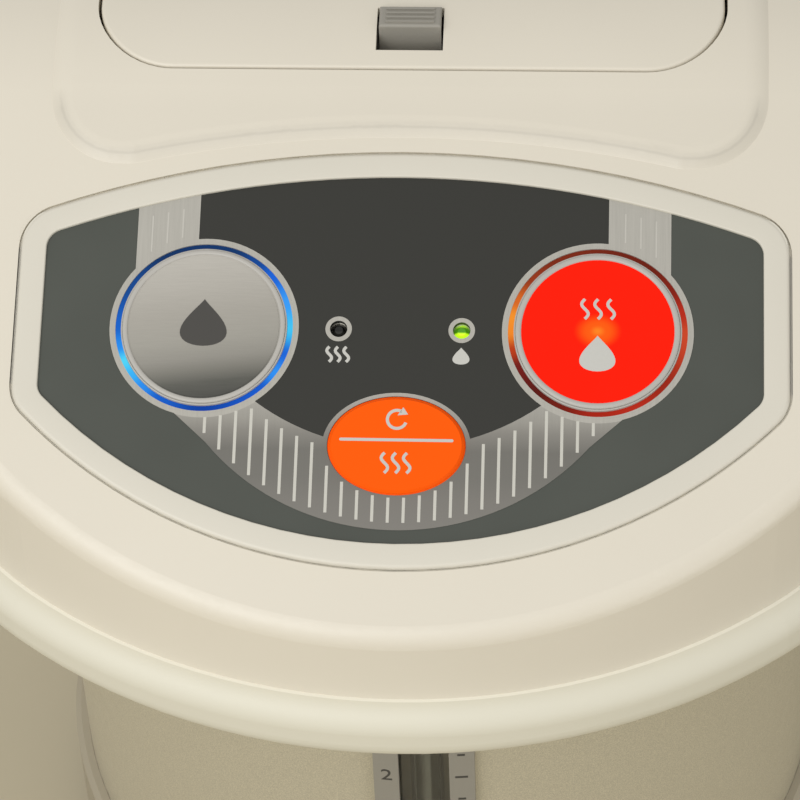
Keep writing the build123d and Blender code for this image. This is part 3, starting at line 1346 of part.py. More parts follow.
with BuildPart() as lid_inner:
    with BuildSketch(Plane.XY.offset(LID_LOW_Z)):
        add(lid_outline(-LINING_IN, LID_REAR_Y - LINING_IN))
    extrude(amount=LINING_T)
    with BuildSketch(Plane.XY.offset(LID_LOW_Z - PLUG_DEEP)):
        Circle(MOUTH_R - PLUG_IN)
    extrude(amount=PLUG_DEEP)
    chamfer(lid_inner.edges().group_by(Axis.Z)[0], PLUG_BREAK)
    for level in (LID_LOW_Z - RIB_DOWN - SEAL_W - RIB_T, LID_LOW_Z - RIB_DOWN):
        with BuildSketch(Plane.XY.offset(level)):
            Circle(MOUTH_R - RIB_IN)
        extrude(amount=RIB_T)
    with BuildSketch(Plane.XY.offset(LID_LOW_Z - PLUG_DEEP + LINING_T)):
        Circle(MOUTH_R - PLUG_IN - LINING_T)
    extrude(amount=PLUG_DEEP, mode=Mode.SUBTRACT)

with BuildPart() as lid_gasket:
    with BuildSketch(Plane.XY.offset(LID_LOW_Z - RIB_DOWN - SEAL_W)):
        Circle(MOUTH_R - SEAL_ROOM)
        Circle(MOUTH_R - PLUG_IN, mode=Mode.SUBTRACT)
    extrude(amount=SEAL_W)

with BuildPart() as steam_cap:
    with BuildSketch(Plane.XY.offset(LEVEL_Z + RAISED)):
        with Locations((0, STEAM_Y)):
            Circle(13)
    extrude(amount=1.8)
    chamfer(steam_cap.edges().group_by(Axis.Z)[-1], 0.8)
    with BuildSketch(Plane.XY.offset(LID_LOW_Z + 3)):
        with Locations((0, STEAM_Y)):
            Circle(5)
    extrude(amount=LEVEL_Z + RAISED - LID_LOW_Z - 3)
    with BuildSketch(Plane.XY.offset(LID_LOW_Z + 2)):
        with Locations((0, STEAM_Y)):
            with GridLocations(0, 2.2, 1, 3):
                Rectangle(7, 1.0)
    extrude(amount=20, mode=Mode.SUBTRACT)

# The lock's flange stops short of the lid's front wall when the lock is slid forward
LOCK_REAR_Y = LID_FRONT_Y + 22.0
TONGUE_Y = LID_FRONT_Y + 0.2
FLANGE_Y = LID_FRONT_Y + LID_WALL + LOCK_TRAVEL + 0.3

with BuildPart() as lid_lock:
    with BuildSketch(Plane.XY.offset(LOCK_Z)):
        with Locations((0, (TONGUE_Y + LOCK_REAR_Y) / 2)):
            Rectangle(16, LOCK_REAR_Y - TONGUE_Y)
        with Locations((0, (FLANGE_Y + LOCK_REAR_Y) / 2)):
            Rectangle(22, LOCK_REAR_Y - FLANGE_Y)
    extrude(amount=1.6)
    with BuildSketch(Plane.XY.offset(LOCK_Z)):
        with Locations((0, (TONGUE_Y + LOCK_REAR_Y) / 2)):
            Rectangle(16, LOCK_REAR_Y - TONGUE_Y)
    extrude(amount=3.2)
    with BuildSketch(Plane.XY.offset(LOCK_Z + 3.2)):
        with Locations((0, LID_FRONT_Y + 11.5)):
            Rectangle(12.8, 6)
    extrude(amount=LEVEL_Z + RAISED + 1.0 - LOCK_Z - 3.2)
    fillet(lid_lock.edges().group_by(Axis.Z)[-1], 0.6)

PIECES = {
    "swivel_plate": swivel_plate,
    "feet": feet,
    "swivel_clip": swivel_clip,
    "base_pan": base_pan,
    "glide_pads": glide_pads,
    "inlet_socket": inlet_socket,
    "inlet_pins": inlet_pins,
    "body_shell": body_shell,
    "gauge_frame": gauge_frame,
    "gauge_window": gauge_window,
    "gauge_tube": gauge_tube,
    "gauge_seals": gauge_seals,
    "inner_pot": inner_pot,
    "pot_neck": pot_neck,
    "heater_plate": heater_plate,
    "band_heater": band_heater,
    "thermostat": thermostat,
    "insulation_jacket": insulation_jacket,
    "pot_gasket": pot_gasket,
    "mouth_ring": mouth_ring,
    "pump_housings": pump_housings,
    "pump_motors": pump_motors,
    "hot_impeller": hot_impeller,
    "warm_impeller": warm_impeller,
    "pump_hoses": pump_hoses,
    "cooling_loop": cooling_loop,
    "warm_riser": warm_riser,
    "hot_riser": hot_riser,
    "tip_valves": tip_valves,
    "spout_elbows": spout_elbows,
    "spouts": spouts,
    "spout_housing": spout_housing,
    "collar": collar,
    "head_cover": head_cover,
    "hinge_pin": hinge_pin,
    "handle_pins": handle_pins,
    "handle": handle,
    "bezel": bezel,
    "label_plate": label_plate,
    "silver_foil": silver_foil,
    "warm_light_ring": warm_light_ring,
    "hot_light_ring": hot_light_ring,
    "warm_button": warm_button,
    "hot_button": hot_button,
    "hot_lens": hot_lens,
    "reboil_button": reboil_button,
    "keypad_mat": keypad_mat,
    "control_board": control_board,
    "switches": switches,
    "board_screws": board_screws,
    "led_left": led_left,
    "led_right": led_right,
    "power_board": power_board,
    "power_parts": power_parts,
    "wire_harness": wire_harness,
    "lid_cover": lid_cover,
    "lid_inner": lid_inner,
    "lid_gasket": lid_gasket,
    "steam_cap": steam_cap,
    "lid_lock": lid_lock,
}

for name, piece in PIECES.items():
    piece.part.label = name
    export_step(piece.part, f"parts/{name}.step")
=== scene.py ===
"""Dress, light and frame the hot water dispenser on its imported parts.

Sizes are in millimetres unless a name says otherwise, and meshes are stored in metres.
X runs to the right seen from the front, Y to the back and Z up. On the sloping control panel a
place is given as across, up the slope, and height above the panel face.
"""
from __future__ import annotations

import logging
import math
from collections.abc import Callable, Sequence
from dataclasses import dataclass, field
from enum import Enum
from functools import cache

import bmesh
import bpy
from mathutils import Euler, Matrix, Vector

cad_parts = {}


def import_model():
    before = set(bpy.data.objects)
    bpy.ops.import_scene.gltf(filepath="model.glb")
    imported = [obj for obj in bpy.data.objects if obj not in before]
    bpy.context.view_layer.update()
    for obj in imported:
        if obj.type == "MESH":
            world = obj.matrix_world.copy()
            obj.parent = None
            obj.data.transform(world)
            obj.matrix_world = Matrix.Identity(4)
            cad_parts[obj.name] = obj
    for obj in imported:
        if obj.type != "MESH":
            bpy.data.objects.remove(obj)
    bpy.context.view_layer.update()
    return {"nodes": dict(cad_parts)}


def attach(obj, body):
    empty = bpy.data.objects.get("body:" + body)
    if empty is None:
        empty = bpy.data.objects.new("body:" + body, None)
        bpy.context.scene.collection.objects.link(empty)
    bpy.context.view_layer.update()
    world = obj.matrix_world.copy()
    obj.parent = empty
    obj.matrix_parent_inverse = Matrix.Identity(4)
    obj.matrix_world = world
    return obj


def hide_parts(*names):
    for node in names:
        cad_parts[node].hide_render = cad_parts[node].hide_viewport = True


LOG = logging.getLogger("dispenser")
MM = 0.001
BUTTON_X = 39.35
LAMP_X = 12.3

Colour = tuple[float, float, float, float]
Spot = tuple[float, float]
Stop = tuple[float, Colour]
Feeds = dict[str | int, object] | Sequence


def tint(red: float, green: float, blue: float) -> Colour:
    """Turn a screen colour into the linear colour that shaders use.

    Args:
        red: Red from 0 to 255.
        green: Green from 0 to 255.
        blue: Blue from 0 to 255.

    Returns:
        The linear colour with full cover.
    """
    shares = [channel / 255 for channel in (red, green, blue)]
    linear = [c / 12.92 if c <= 0.04045 else ((c + 0.055) / 1.055) ** 2.4 for c in shares]
    return (*linear, 1.0)


def toned(colour: Colour, factor: float) -> Colour:
    """Return the colour made lighter or darker by a factor."""
    return (*(part * factor for part in colour[:3]), 1.0)


def tints(*rows: tuple[float, float, float, float]) -> tuple[Stop, ...]:
    """Return ramp stops, each given by its place and then red, green and blue."""
    return tuple((place, tint(*screen)) for place, *screen in rows)


class Lay(Enum):
    """Direction of a brushed or drawn grain, as the number of its axis."""

    ACROSS = 0
    ALONG = 1
    UPRIGHT = 2


class Side(Enum):
    """The two pouring sides, by the sign of their place across."""

    WARM = -1
    HOT = 1


@dataclass(frozen=True)
class PanelPlane:
    """The sloping plane of the control panel."""

    tilt: float = 21.4
    y: float = -114.4
    z: float = 310.3

    @property
    def turn(self) -> float:
        """Tilt in radians."""
        return math.radians(self.tilt)

    def at(self, across: float, up: float, height: float) -> Vector:
        """Place a point of the panel in the frame.

        Args:
            across: Distance to the right of the middle.
            up: Distance up the slope from the line through the two round buttons.
            height: Height above the panel face.

        Returns:
            The point in metres.
        """
        sine, cosine = math.sin(self.turn), math.cos(self.turn)
        y = self.y + up * cosine - height * sine
        z = self.z + up * sine + height * cosine
        return Vector((across, y, z)) * MM

    def shader_shift(self, across: float, up: float) -> tuple[float, float, float]:
        """Shift that brings turned object coordinates to a centre on the panel, in millimetres."""
        sine, cosine = math.sin(self.turn), math.cos(self.turn)
        along = self.y * cosine + self.z * sine
        above = -self.y * sine + self.z * cosine
        return (-across, -along - up, -above)


PANEL = PanelPlane()


def sign(operation: str) -> Callable[[Wire, object], Wire]:
    """Make a method that joins a wire and a value by one arithmetic node."""
    return lambda first, second: first.web.maths(operation, first, second)


class Wire:
    """A value in a node tree, which plain arithmetic signs join to others by nodes."""

    def __init__(self, web: Web, socket: bpy.types.NodeSocket) -> None:
        """Hold an output socket and the web that it belongs to."""
        self.web = web
        self.socket = socket

    __add__ = sign("ADD")
    __sub__ = sign("SUBTRACT")
    __mul__ = sign("MULTIPLY")
    __truediv__ = sign("DIVIDE")
    __mod__ = sign("MODULO")
    __lt__ = sign("LESS_THAN")
    __gt__ = sign("GREATER_THAN")
    lower = sign("MINIMUM")
    higher = sign("MAXIMUM")

    def __rsub__(self, other: float) -> Wire:
        """Take this value away from a number."""
        return self.web.maths("SUBTRACT", other, self)

    def __abs__(self) -> Wire:
        """The value without its minus sign."""
        return self.web.maths("ABSOLUTE", self)

    def root(self) -> Wire:
        """The square root."""
        return self.web.maths("SQRT", self)


class Web:
    """A node tree under construction."""

    def __init__(self, tree: bpy.types.NodeTree) -> None:
        """Hold the tree."""
        self.tree = tree

    def link(self, source: object, target: bpy.types.NodeSocket) -> None:
        """Join a wire or write a plain value into an input socket."""
        if isinstance(source, Wire):
            self.tree.links.new(source.socket, target)
        else:
            target.default_value = source

    def add(self, kind: str, feeds: Feeds = (), **settings: object) -> bpy.types.Node:
        """Add a node, set its properties and feed its inputs.

        Args:
            kind: Type of the node.
            feeds: Wires or values, by the input's name or number or in the inputs' order.
            **settings: Properties of the node.

        Returns:
            The node.
        """
        node = self.tree.nodes.new(kind)
        for key, value in settings.items():
            setattr(node, key, value)
        for key, value in feeds.items() if isinstance(feeds, dict) else enumerate(feeds):
            self.link(value, node.inputs[key])
        return node

    def step(self, kind: str, feeds: Feeds = (), output: str | int = 0, **settings: object) -> Wire:
        """Add a node in the same way and give back one of its outputs."""
        return Wire(self, self.add(kind, feeds, **settings).outputs[output])

    def maths(self, operation: str, *values: object, clamp: bool = False) -> Wire:
        """One step of arithmetic on numbers or wires."""
        return self.step("ShaderNodeMath", values, operation=operation, use_clamp=clamp)

    def parts(self, vector: Wire) -> list[Wire]:
        """The three parts of a vector."""
        return [Wire(self, part) for part in self.add("ShaderNodeSeparateXYZ", (vector,)).outputs]


def reach(across: Wire, up: Wire) -> Wire:
    """Distance of a flat point from zero."""
    return (across * across + up * up).root()


def half_chord(radius: Wire | float, across: Wire) -> Wire:
    """Half the height of a circle at a distance across, and nothing past its edge."""
    return (radius * radius - across * across).higher(0.0).root()


class Shader(Web):
    """A material's node tree, with its coordinates in millimetres."""

    def __init__(self, name: str) -> None:
        """Start a material that has one main shader."""
        self.material = bpy.data.materials.new(name)
        self.material.use_nodes = True
        super().__init__(self.material.node_tree)
        self.tree.nodes.clear()
        self.body = self.add("ShaderNodeBsdfPrincipled")
        self.add("ShaderNodeOutputMaterial", {"Surface": Wire(self, self.body.outputs[0])})

    def set(self, **values: object) -> None:
        """Set the main shader's inputs, their names written with underscores."""
        for key, value in values.items():
            self.link(value, self.body.inputs[key.replace("_", " ")])

    def painted(self) -> Wire:
        """What drives the main shader's colour so far."""
        return Wire(self, self.body.inputs["Base Color"].links[0].from_socket)

    def place(
        self,
        stretch: Sequence[float] = (1.0, 1.0, 1.0),
        turn: Sequence[float] = (0.0, 0.0, 0.0),
        shift: Sequence[float] = (0.0, 0.0, 0.0),
    ) -> Wire:
        """Object coordinates in millimetres, stretched, turned and shifted.

        Args:
            stretch: Factor along each axis.
            turn: Angles in radians.
            shift: Shift in millimetres, added last.

        Returns:
            The place as a vector.
        """
        spot = self.step("ShaderNodeTexCoord", output="Object")
        scale = [factor / MM for factor in stretch]
        feeds = {"Vector": spot, "Scale": scale, "Rotation": turn, "Location": shift}
        return self.step("ShaderNodeMapping", feeds)

    def on_panel(self, across: float = 0.0, up: float = 0.0) -> Wire:
        """Panel coordinates in millimetres, counted from a centre on the panel."""
        return self.place(turn=(-PANEL.turn, 0.0, 0.0), shift=PANEL.shader_shift(across, up))

    def noise(self, where: Wire, size: float, detail: float = 3.0, rough: float = 0.5) -> Wire:
        """Noise whose blotches are about size millimetres across."""
        feeds = {"Vector": where, "Scale": 1.0 / size, "Detail": detail, "Roughness": rough}
        return self.step("ShaderNodeTexNoise", feeds)

    def panel_lines(self, stretch: Sequence[float], size: float) -> Wire:
        """Fine lines on the panel, drawn out along the axes whose factor is small."""
        return self.noise(self.place(stretch, (-PANEL.turn, 0.0, 0.0)), size, 3.0, 0.6)

    def ramp(self, value: Wire, stops: Sequence[Stop], ease: str = "LINEAR") -> Wire:
        """Colours along a value from 0 to 1.

        Args:
            value: What drives the ramp.
            stops: Places and their colours, in rising order.
            ease: How one colour goes over into the next.

        Returns:
            The colour.
        """
        node = self.add("ShaderNodeValToRGB", (value,))
        node.color_ramp.interpolation = ease
        points = node.color_ramp.elements
        points[0].position, points[0].color = stops[0]
        points[1].position, points[1].color = stops[-1]
        for position, colour in stops[1:-1]:
            points.new(position).color = colour
        return Wire(self, node.outputs[0])

    def tones(self, value: Wire, colour: Colour, dark: float, light: float, low: float = 0.3) -> Wire:
        """Carry a noise over to a colour between a darker and a lighter tone of itself."""
        return self.ramp(value, [(low, toned(colour, dark)), (0.7, toned(colour, light))])

    def fit(self, value: Wire, to_low: float, to_high: float, low: float = 0.3, high: float = 0.7) -> Wire:
        """Carry a value from the span low to high over to another, without going past its ends."""
        return self.step("ShaderNodeMapRange", (value, low, high, to_low, to_high), clamp=True)

    def blend(self, factor: object, first: object, second: object) -> Wire:
        """Mix two colours, the second showing where the factor is 1."""
        return self.step("ShaderNodeMix", {0: factor, 6: first, 7: second}, 2, data_type="RGBA")

    def raise_by(self, height: Wire, depth: float) -> None:
        """Bump the surface by a height from 0 to 1, depth millimetres deep."""
        feeds = {"Strength": 1.0, "Distance": depth * MM, "Height": height}
        self.set(Normal=self.step("ShaderNodeBump", feeds))


@dataclass(frozen=True)
class Finish:
    """A surface finish whose material is made once and then shared."""

    name: str
    colour: Colour

    def shade(self, shader: Shader) -> None:
        """Fill in the material's nodes."""
        raise NotImplementedError

    @cache
    def material(self) -> bpy.types.Material:
        """Make this finish's material on first use and return it."""
        shader = Shader(f"finish_{self.name}")
        self.shade(shader)
        return shader.material


@dataclass(frozen=True)
class Moulded(Finish):
    """Moulded plastic or rubber with a fine grain and a slow drift of tone."""

    rough: float = 0.42
    drift: float = 0.035
    grain: float = 0.012
    pitch: float = 0.7
    gloss: float = 0.5

    def shade(self, shader: Shader) -> None:
        """Drift the tone slowly, vary the gloss and raise the grain."""
        where = shader.place()
        slow, fine = shader.noise(where, 45.0, 2.0), shader.noise(where, self.pitch, 2.0, 0.6)
        shader.set(
            Base_Color=shader.tones(slow, self.colour, 1 - self.drift, 1 + self.drift),
            Roughness=shader.fit(fine, self.rough - 0.04, self.rough + 0.05),
            Specular_IOR_Level=self.gloss,
        )
        shader.raise_by(fine, self.grain)


@dataclass(frozen=True)
class EdgedMoulding(Moulded):
    """Moulded plastic with a painted highlight along its level upper edge."""

    edge_z: float = 267.985
    edge_depth: float = 0.01
    highlight_colour: Colour = tint(236, 232, 217)

    def shade(self, shader: Shader) -> None:
        """Paint the highlight on the level edge."""
        super().shade(shader)
        height = shader.parts(shader.place())[2]
        # painted highlight: a lighter tone laid along the collar's level upper edge
        edge = shader.fit(height, 0.0, 1.0, self.edge_z, self.edge_z + self.edge_depth)
        shader.set(Base_Color=shader.blend(edge, shader.painted(), self.highlight_colour))


@dataclass(frozen=True)
class SteppedMoulding(Moulded):
    """Moulded plastic with painted shade in the step round the raised lid field, on the tilted part."""

    raised: float = 1.5
    fade: Spot = (-71.0, -66.5)
    painted_shades: tuple[Spot, ...] = (
        (0.0, 0.0), (0.03, 0.07), (0.3, 0.1), (0.52, 0.12), (0.64, 0.2), (0.76, 0.1), (0.92, 0.02), (1.0, 0.0)
    )

    def shade(self, shader: Shader) -> None:
        """Paint shade into the step by its height over the panel's plane."""
        super().shade(shader)
        height = shader.parts(shader.on_panel())[2]
        along = shader.parts(shader.place())[1]
        stops = [(place, (depth, depth, depth, 1.0)) for place, depth in self.painted_shades]
        # painted shade: the step is darkened by its height over the panel, fading out towards the back
        depth = shader.ramp(shader.fit(height, 0.0, 1.0, 0.02, self.raised), stops, "EASE")
        front = shader.fit(along, 1.0, 0.0, *self.fade)
        shader.set(Base_Color=shader.blend(depth * front, shader.painted(), toned(self.colour, 0.0)))


@dataclass(frozen=True)
class Lacquered(Finish):
    """Metallic lacquer on sheet, with fine flake and a faint orange peel."""

    rough: float = 0.34

    def shade(self, shader: Shader) -> None:
        """Vary the flake and add the clear coat."""
        where = shader.place()
        flake, peel = shader.noise(where, 0.28, 0.0), shader.noise(where, 2.2, 1.0)
        shader.set(
            Base_Color=shader.tones(flake, self.colour, 0.9, 1.14, low=0.35),
            Metallic=0.25,
            Roughness=shader.fit(peel, self.rough - 0.04, self.rough + 0.04),
            Coat_Weight=0.35,
            Coat_Roughness=0.1,
        )
        shader.raise_by(peel, 0.006)


@dataclass(frozen=True)
class Brushed(Finish):
    """Metal with a brushed or drawn grain along one direction."""

    lay: Lay = Lay.ACROSS
    rough: float = 0.34
    stretch: float = 7.0

    def shade(self, shader: Shader) -> None:
        """Draw the noise out along the grain."""
        factors = [1.0, 1.0, 1.0]
        factors[self.lay.value] /= self.stretch
        lines = shader.noise(shader.place(factors), 0.32, 4.0, 0.65)
        cloud = shader.fit(shader.noise(shader.place(), 30.0, 2.0), 0.0, 0.25)
        drawn = shader.tones(lines, self.colour, 0.84, 1.12)
        shader.set(
            Base_Color=shader.blend(cloud, drawn, toned(self.colour, 0.9)),
            Metallic=1.0,
            Roughness=shader.fit(lines, self.rough - 0.06, self.rough + 0.08),
        )
        shader.raise_by(lines, 0.006)


@dataclass(frozen=True)
class Clear(Finish):
    """Clear glass or plastic with faint wipe marks."""

    rough: float = 0.03
    ior: float = 1.49

    def shade(self, shader: Shader) -> None:
        """Let light through and cloud the gloss a little."""
        smear = shader.noise(shader.place((1.0, 1.0, 0.3)), 9.0)
        shader.set(
            Base_Color=self.colour,
            Roughness=shader.fit(smear, self.rough, self.rough + 0.06, 0.35, 0.75),
            IOR=self.ior,
            Transmission_Weight=1.0,
        )


@dataclass(frozen=True)
class Felted(Finish):
    """Needled felt with loose fibres."""

    def shade(self, shader: Shader) -> None:
        """Mix fibres in two tones and raise them."""
        fibres = shader.noise(shader.place((1.0, 1.0, 0.35)), 1.1, 6.0, 0.7)
        shader.set(Base_Color=shader.tones(fibres, self.colour, 0.7, 1.2), Roughness=0.95, Sheen_Weight=0.4)
        shader.raise_by(fibres, 0.5)


@dataclass(frozen=True)
class Laminate(Finish):
    """Circuit board with solder mask, tracks and bare pads."""

    def shade(self, shader: Shader) -> None:
        """Lay tracks under the mask."""
        where = shader.on_panel()
        masks = {"Color1": toned(self.colour, 0.8), "Color2": self.colour, "Mortar": toned(self.colour, 1.7)}
        sizes = {"Scale": 1.0, "Mortar Size": 0.25, "Brick Width": 7.0, "Row Height": 2.4}
        tracks = shader.add("ShaderNodeTexBrick", {"Vector": where} | masks | sizes, offset=0.3)
        gloss = shader.fit(shader.noise(where, 1.5), 0.28, 0.4)
        shader.set(Base_Color=Wire(shader, tracks.outputs[0]), Roughness=gloss)
        shader.raise_by(Wire(shader, tracks.outputs[1]), 0.03)


@dataclass(frozen=True)
class PrintedFilm(Finish):
    """The charcoal label film: darker inside the silver band, lighter and greener outside it."""

    inside: Colour = tint(53, 53, 49)
    band_half: float = 45.0
    swoop_radius: float = 48.5
    swoop_up: float = 15.0

    def shade(self, shader: Shader) -> None:
        """Change tone under the middle of the silver band."""
        where = shader.on_panel()
        across, up, _ = shader.parts(where)
        within_uprights = abs(across) < self.band_half
        within_swoop = reach(across, up - self.swoop_up) < self.swoop_radius
        inner = (within_uprights * (up > 0.0)).higher(within_swoop) * within_uprights
        film = shader.noise(where, 0.5, 2.0)
        drift = shader.fit(shader.noise(where, 30.0, 2.0), 0.0, 1.0)
        outer = shader.blend(drift, toned(self.colour, 0.94), toned(self.colour, 1.06))
        tone = shader.blend(inner, outer, self.inside)
        shader.set(Base_Color=tone, Roughness=shader.fit(film, 0.42, 0.5), Specular_IOR_Level=0.25)
        shader.raise_by(film, 0.004)


@dataclass(frozen=True)
class SilverFilm(Finish):
    """Brushed silver film, bright in the uprights and rings and printed grey down the swoop."""

    ring: float = 19.2
    span: Spot = (-42.0, -12.0)
    greys: tuple[Stop, ...] = tints(
        (0.0, 129, 126, 120), (0.2, 125, 122, 116), (0.36, 117, 115, 109), (0.55, 115, 113, 107),
        (0.68, 138, 135, 128), (0.76, 156, 153, 145), (0.9, 172, 169, 161),
    )

    def shade(self, shader: Shader) -> None:
        """Print the greys by the place up the slope and leave the rings bright."""
        across, up, _ = shader.parts(shader.on_panel())
        bright = reach(abs(across) - BUTTON_X, up) < self.ring
        printed = shader.ramp(shader.fit(up, 0.0, 1.0, *self.span), [*self.greys, (1.0, self.colour)])
        tone = shader.blend(bright, printed, self.colour)
        lines = shader.panel_lines((1.0, 0.03, 0.03), 0.35)
        shader.set(
            Base_Color=shader.blend(shader.fit(lines, 0.16, 0.0), tone, toned(self.colour, 0.45)),
            Metallic=0.15,
            Roughness=shader.fit(lines, 0.42, 0.55),
            Specular_IOR_Level=0.3,
        )
        shader.raise_by(lines, 0.004)


@dataclass(frozen=True)
class ButtonMetal(Finish):
    """Brushed and slightly domed face of the warm button, with painted shade towards its lower edge and a
    painted highlight up the slope.
    """

    radius: float = 15.0
    lean: float = 0.12
    painted_dome_shading: tuple[Stop, ...] = tints(
        (0.0, 74, 74, 70), (0.1, 92, 92, 86), (0.19, 128, 126, 118), (0.27, 150, 147, 139),
        (0.4, 165, 162, 153), (0.6, 174, 170, 161), (0.8, 187, 183, 174), (1.0, 196, 192, 183),
    )

    def shade(self, shader: Shader) -> None:
        """Run fine lines across and paint the tone darker towards the lower edge and lighter up the slope."""
        across, up, _ = shader.parts(shader.on_panel())
        lines = shader.panel_lines((0.05, 1.0, 1.0), 0.3)
        # painted light: the face is painted lighter up the slope and darker low down, as a lit dome would
        # look
        leaning = up - (across + BUTTON_X) * self.lean
        face = shader.ramp(shader.fit(leaning, 0.0, 1.0, -self.radius, self.radius), self.painted_dome_shading)
        shader.set(
            Base_Color=shader.blend(shader.fit(lines, 0.0, 0.12), face, toned(self.colour, 0.6)),
            Metallic=0.3,
            Roughness=shader.fit(lines, 0.42, 0.54),
            Specular_IOR_Level=0.3,
        )
        shader.raise_by(lines, 0.004)


@dataclass(frozen=True)
class LitRing(Finish):
    """Light guide round a button, its lamps showing as bright stretches."""

    centre: Spot
    stops: tuple[Stop, ...]
    power: float = 0.9

    def shade(self, shader: Shader) -> None:
        """Colour the glow by the direction from the button's centre."""
        where = shader.on_panel(*self.centre)
        turned = shader.step("ShaderNodeTexGradient", (where,), 1, gradient_type="RADIAL")
        shader.set(
            Base_Color=self.colour,
            Emission_Color=shader.ramp(turned, self.stops, "EASE"),
            Emission_Strength=self.power,
            Roughness=shader.fit(shader.noise(where, 1.2), 0.3, 0.4),
            Specular_IOR_Level=0.08,
        )


@dataclass(frozen=True)
class GlowFace(Finish):
    """Glossy lens with a lamp glowing behind its middle."""

    centre: Spot = (BUTTON_X, 0.0)
    core: Colour = tint(255, 150, 40)
    halo: Colour = tint(255, 104, 20)
    glow_radius: float = 9.2
    flattened: float = 1.25

    def shade(self, shader: Shader) -> None:
        """Glow from the middle outwards."""
        where = shader.on_panel(*self.centre)
        across, up, _ = shader.parts(where)
        far = shader.maths("DIVIDE", reach(across, up * self.flattened), self.glow_radius, clamp=True)
        stops = [(0.0, self.core), (0.2, self.halo), (0.55, self.colour), (1.0, self.colour)]
        shader.set(
            Base_Color=toned(self.colour, 0.3),
            Emission_Color=shader.ramp(far, stops, "EASE"),
            Emission_Strength=0.78,
            Roughness=shader.fit(shader.noise(where, 6.0, 2.0), 0.3, 0.4),
            Specular_IOR_Level=0.05,
        )


@dataclass(frozen=True)
class LampLens(Finish):
    """Small lamp in a hole, lit or dark, with a band of shade across it."""

    centre: Spot
    band: Colour
    power: float = 0.0
    radius: float = 1.6

    def shade(self, shader: Shader) -> None:
        """Colour the lens from its lower to its upper edge."""
        where = shader.on_panel(*self.centre)
        edge = toned(self.colour, 0.8)
        stops = [(0.0, self.colour), (0.34, self.colour), (0.5, self.band), (0.72, self.band), (1.0, edge)]
        height = shader.fit(shader.parts(where)[1], 0.0, 1.0, -self.radius, self.radius)
        tone = shader.ramp(height, stops, "EASE")
        gloss = shader.fit(shader.noise(where, 0.8), 0.12, 0.2)
        shader.set(Base_Color=tone, Emission_Color=tone, Emission_Strength=self.power, Roughness=gloss)


CREAM_SKIN: dict[str, float] = {"rough": 0.4, "drift": 0.012, "grain": 0.008, "pitch": 0.9}
TICK_SKIN: dict[str, float] = {"rough": 0.45, "drift": 0.02, "grain": 0.004, "pitch": 0.4}
CREAM = Moulded("cream_cover", tint(221, 214, 198), **CREAM_SKIN)
TOP_COVER = SteppedMoulding("cream_top", tint(221, 214, 198), **CREAM_SKIN)
BEZEL = Moulded("cream_bezel", tint(214, 209, 195), rough=0.45, drift=0.01, grain=0.006, pitch=0.8)
COLLAR = EdgedMoulding("cream_collar", tint(219, 215, 198), rough=0.5, drift=0.012, grain=0.008, gloss=0.35)
SHELL = Lacquered("champagne_sheet", tint(199, 192, 170))
WARM_GREY = Moulded("warm_grey", tint(150, 146, 136), rough=0.5, drift=0.02, grain=0.03)
TAUPE = Moulded("warm_taupe", tint(170, 161, 140), rough=0.5, drift=0.02, grain=0.03)
NEAR_BLACK = Moulded("near_black", tint(52, 52, 50), rough=0.5, drift=0.03, grain=0.04)
OFF_WHITE = Moulded("off_white", tint(228, 227, 220), drift=0.015)
ROTOR = Moulded("rotor_dark", tint(84, 84, 88), rough=0.5, drift=0.03)
RUBBER = Moulded("rubber_black", tint(40, 40, 40), rough=0.8, drift=0.05, grain=0.06, pitch=0.5)
SILICONE = Moulded("silicone_grey", tint(196, 193, 184), rough=0.55, drift=0.03, grain=0.01)
ORANGE = Moulded("orange_key", tint(255, 92, 0), rough=0.5, drift=0.01, grain=0.004, gloss=0.1)
WIRE = Moulded("wire_sleeve", tint(168, 166, 160), rough=0.6, drift=0.04, grain=0.02, pitch=0.5)
CASES = Moulded("power_cases", tint(70, 72, 78), rough=0.45, drift=0.08, grain=0.02)
CERAMIC = Moulded("thermostat_ceramic", tint(214, 208, 196), rough=0.6, drift=0.04, grain=0.03)
POT = Brushed("pot_steel", tint(196, 194, 190), Lay.UPRIGHT, rough=0.28, stretch=40.0)
PIPES = Brushed("pipe_steel", tint(202, 200, 196), Lay.ALONG, rough=0.25, stretch=20.0)
HEATER = Brushed("heater_cast", tint(190, 190, 190), rough=0.5, stretch=1.5)
BAND = Brushed("heater_band", tint(170, 160, 140), Lay.UPRIGHT, rough=0.4, stretch=30.0)
CAN = Brushed("motor_can", tint(168, 168, 168), Lay.UPRIGHT, rough=0.35, stretch=25.0)
ZINC = Brushed("zinc_steel", tint(176, 176, 172), rough=0.35, stretch=3.0)
BRASS = Brushed("plated_brass", tint(206, 176, 110), Lay.ALONG, rough=0.28, stretch=8.0)
WINDOW = Clear("window_plastic", tint(244, 247, 247))
GLASS = Clear("gauge_glass", tint(246, 250, 249), rough=0.01, ior=1.5)
FELT = Felted("jacket_felt", tint(196, 192, 180))
BOARD = Laminate("board_green", tint(62, 120, 84))
FILM = PrintedFilm("label_film", tint(78, 81, 75))
SILVER = SilverFilm("silver_film", tint(182, 179, 170))
BUTTON = ButtonMetal("button_metal", tint(160, 157, 149))
BRIGHT = Moulded("bright_rim", tint(180, 177, 170), drift=0.03, grain=0.002, pitch=0.5)
TICK = Moulded("tick_silver", tint(198, 196, 186), **TICK_SKIN)
FAINT_TICK = Moulded("faint_tick", tint(191, 188, 179), **TICK_SKIN)
PALE_PRINT = Moulded("pale_print", tint(196, 195, 188), rough=0.5, drift=0.02, grain=0.003, pitch=0.4)
DARK_PRINT = Moulded("dark_print", tint(66, 64, 60), rough=0.5, drift=0.03, grain=0.003, pitch=0.4)
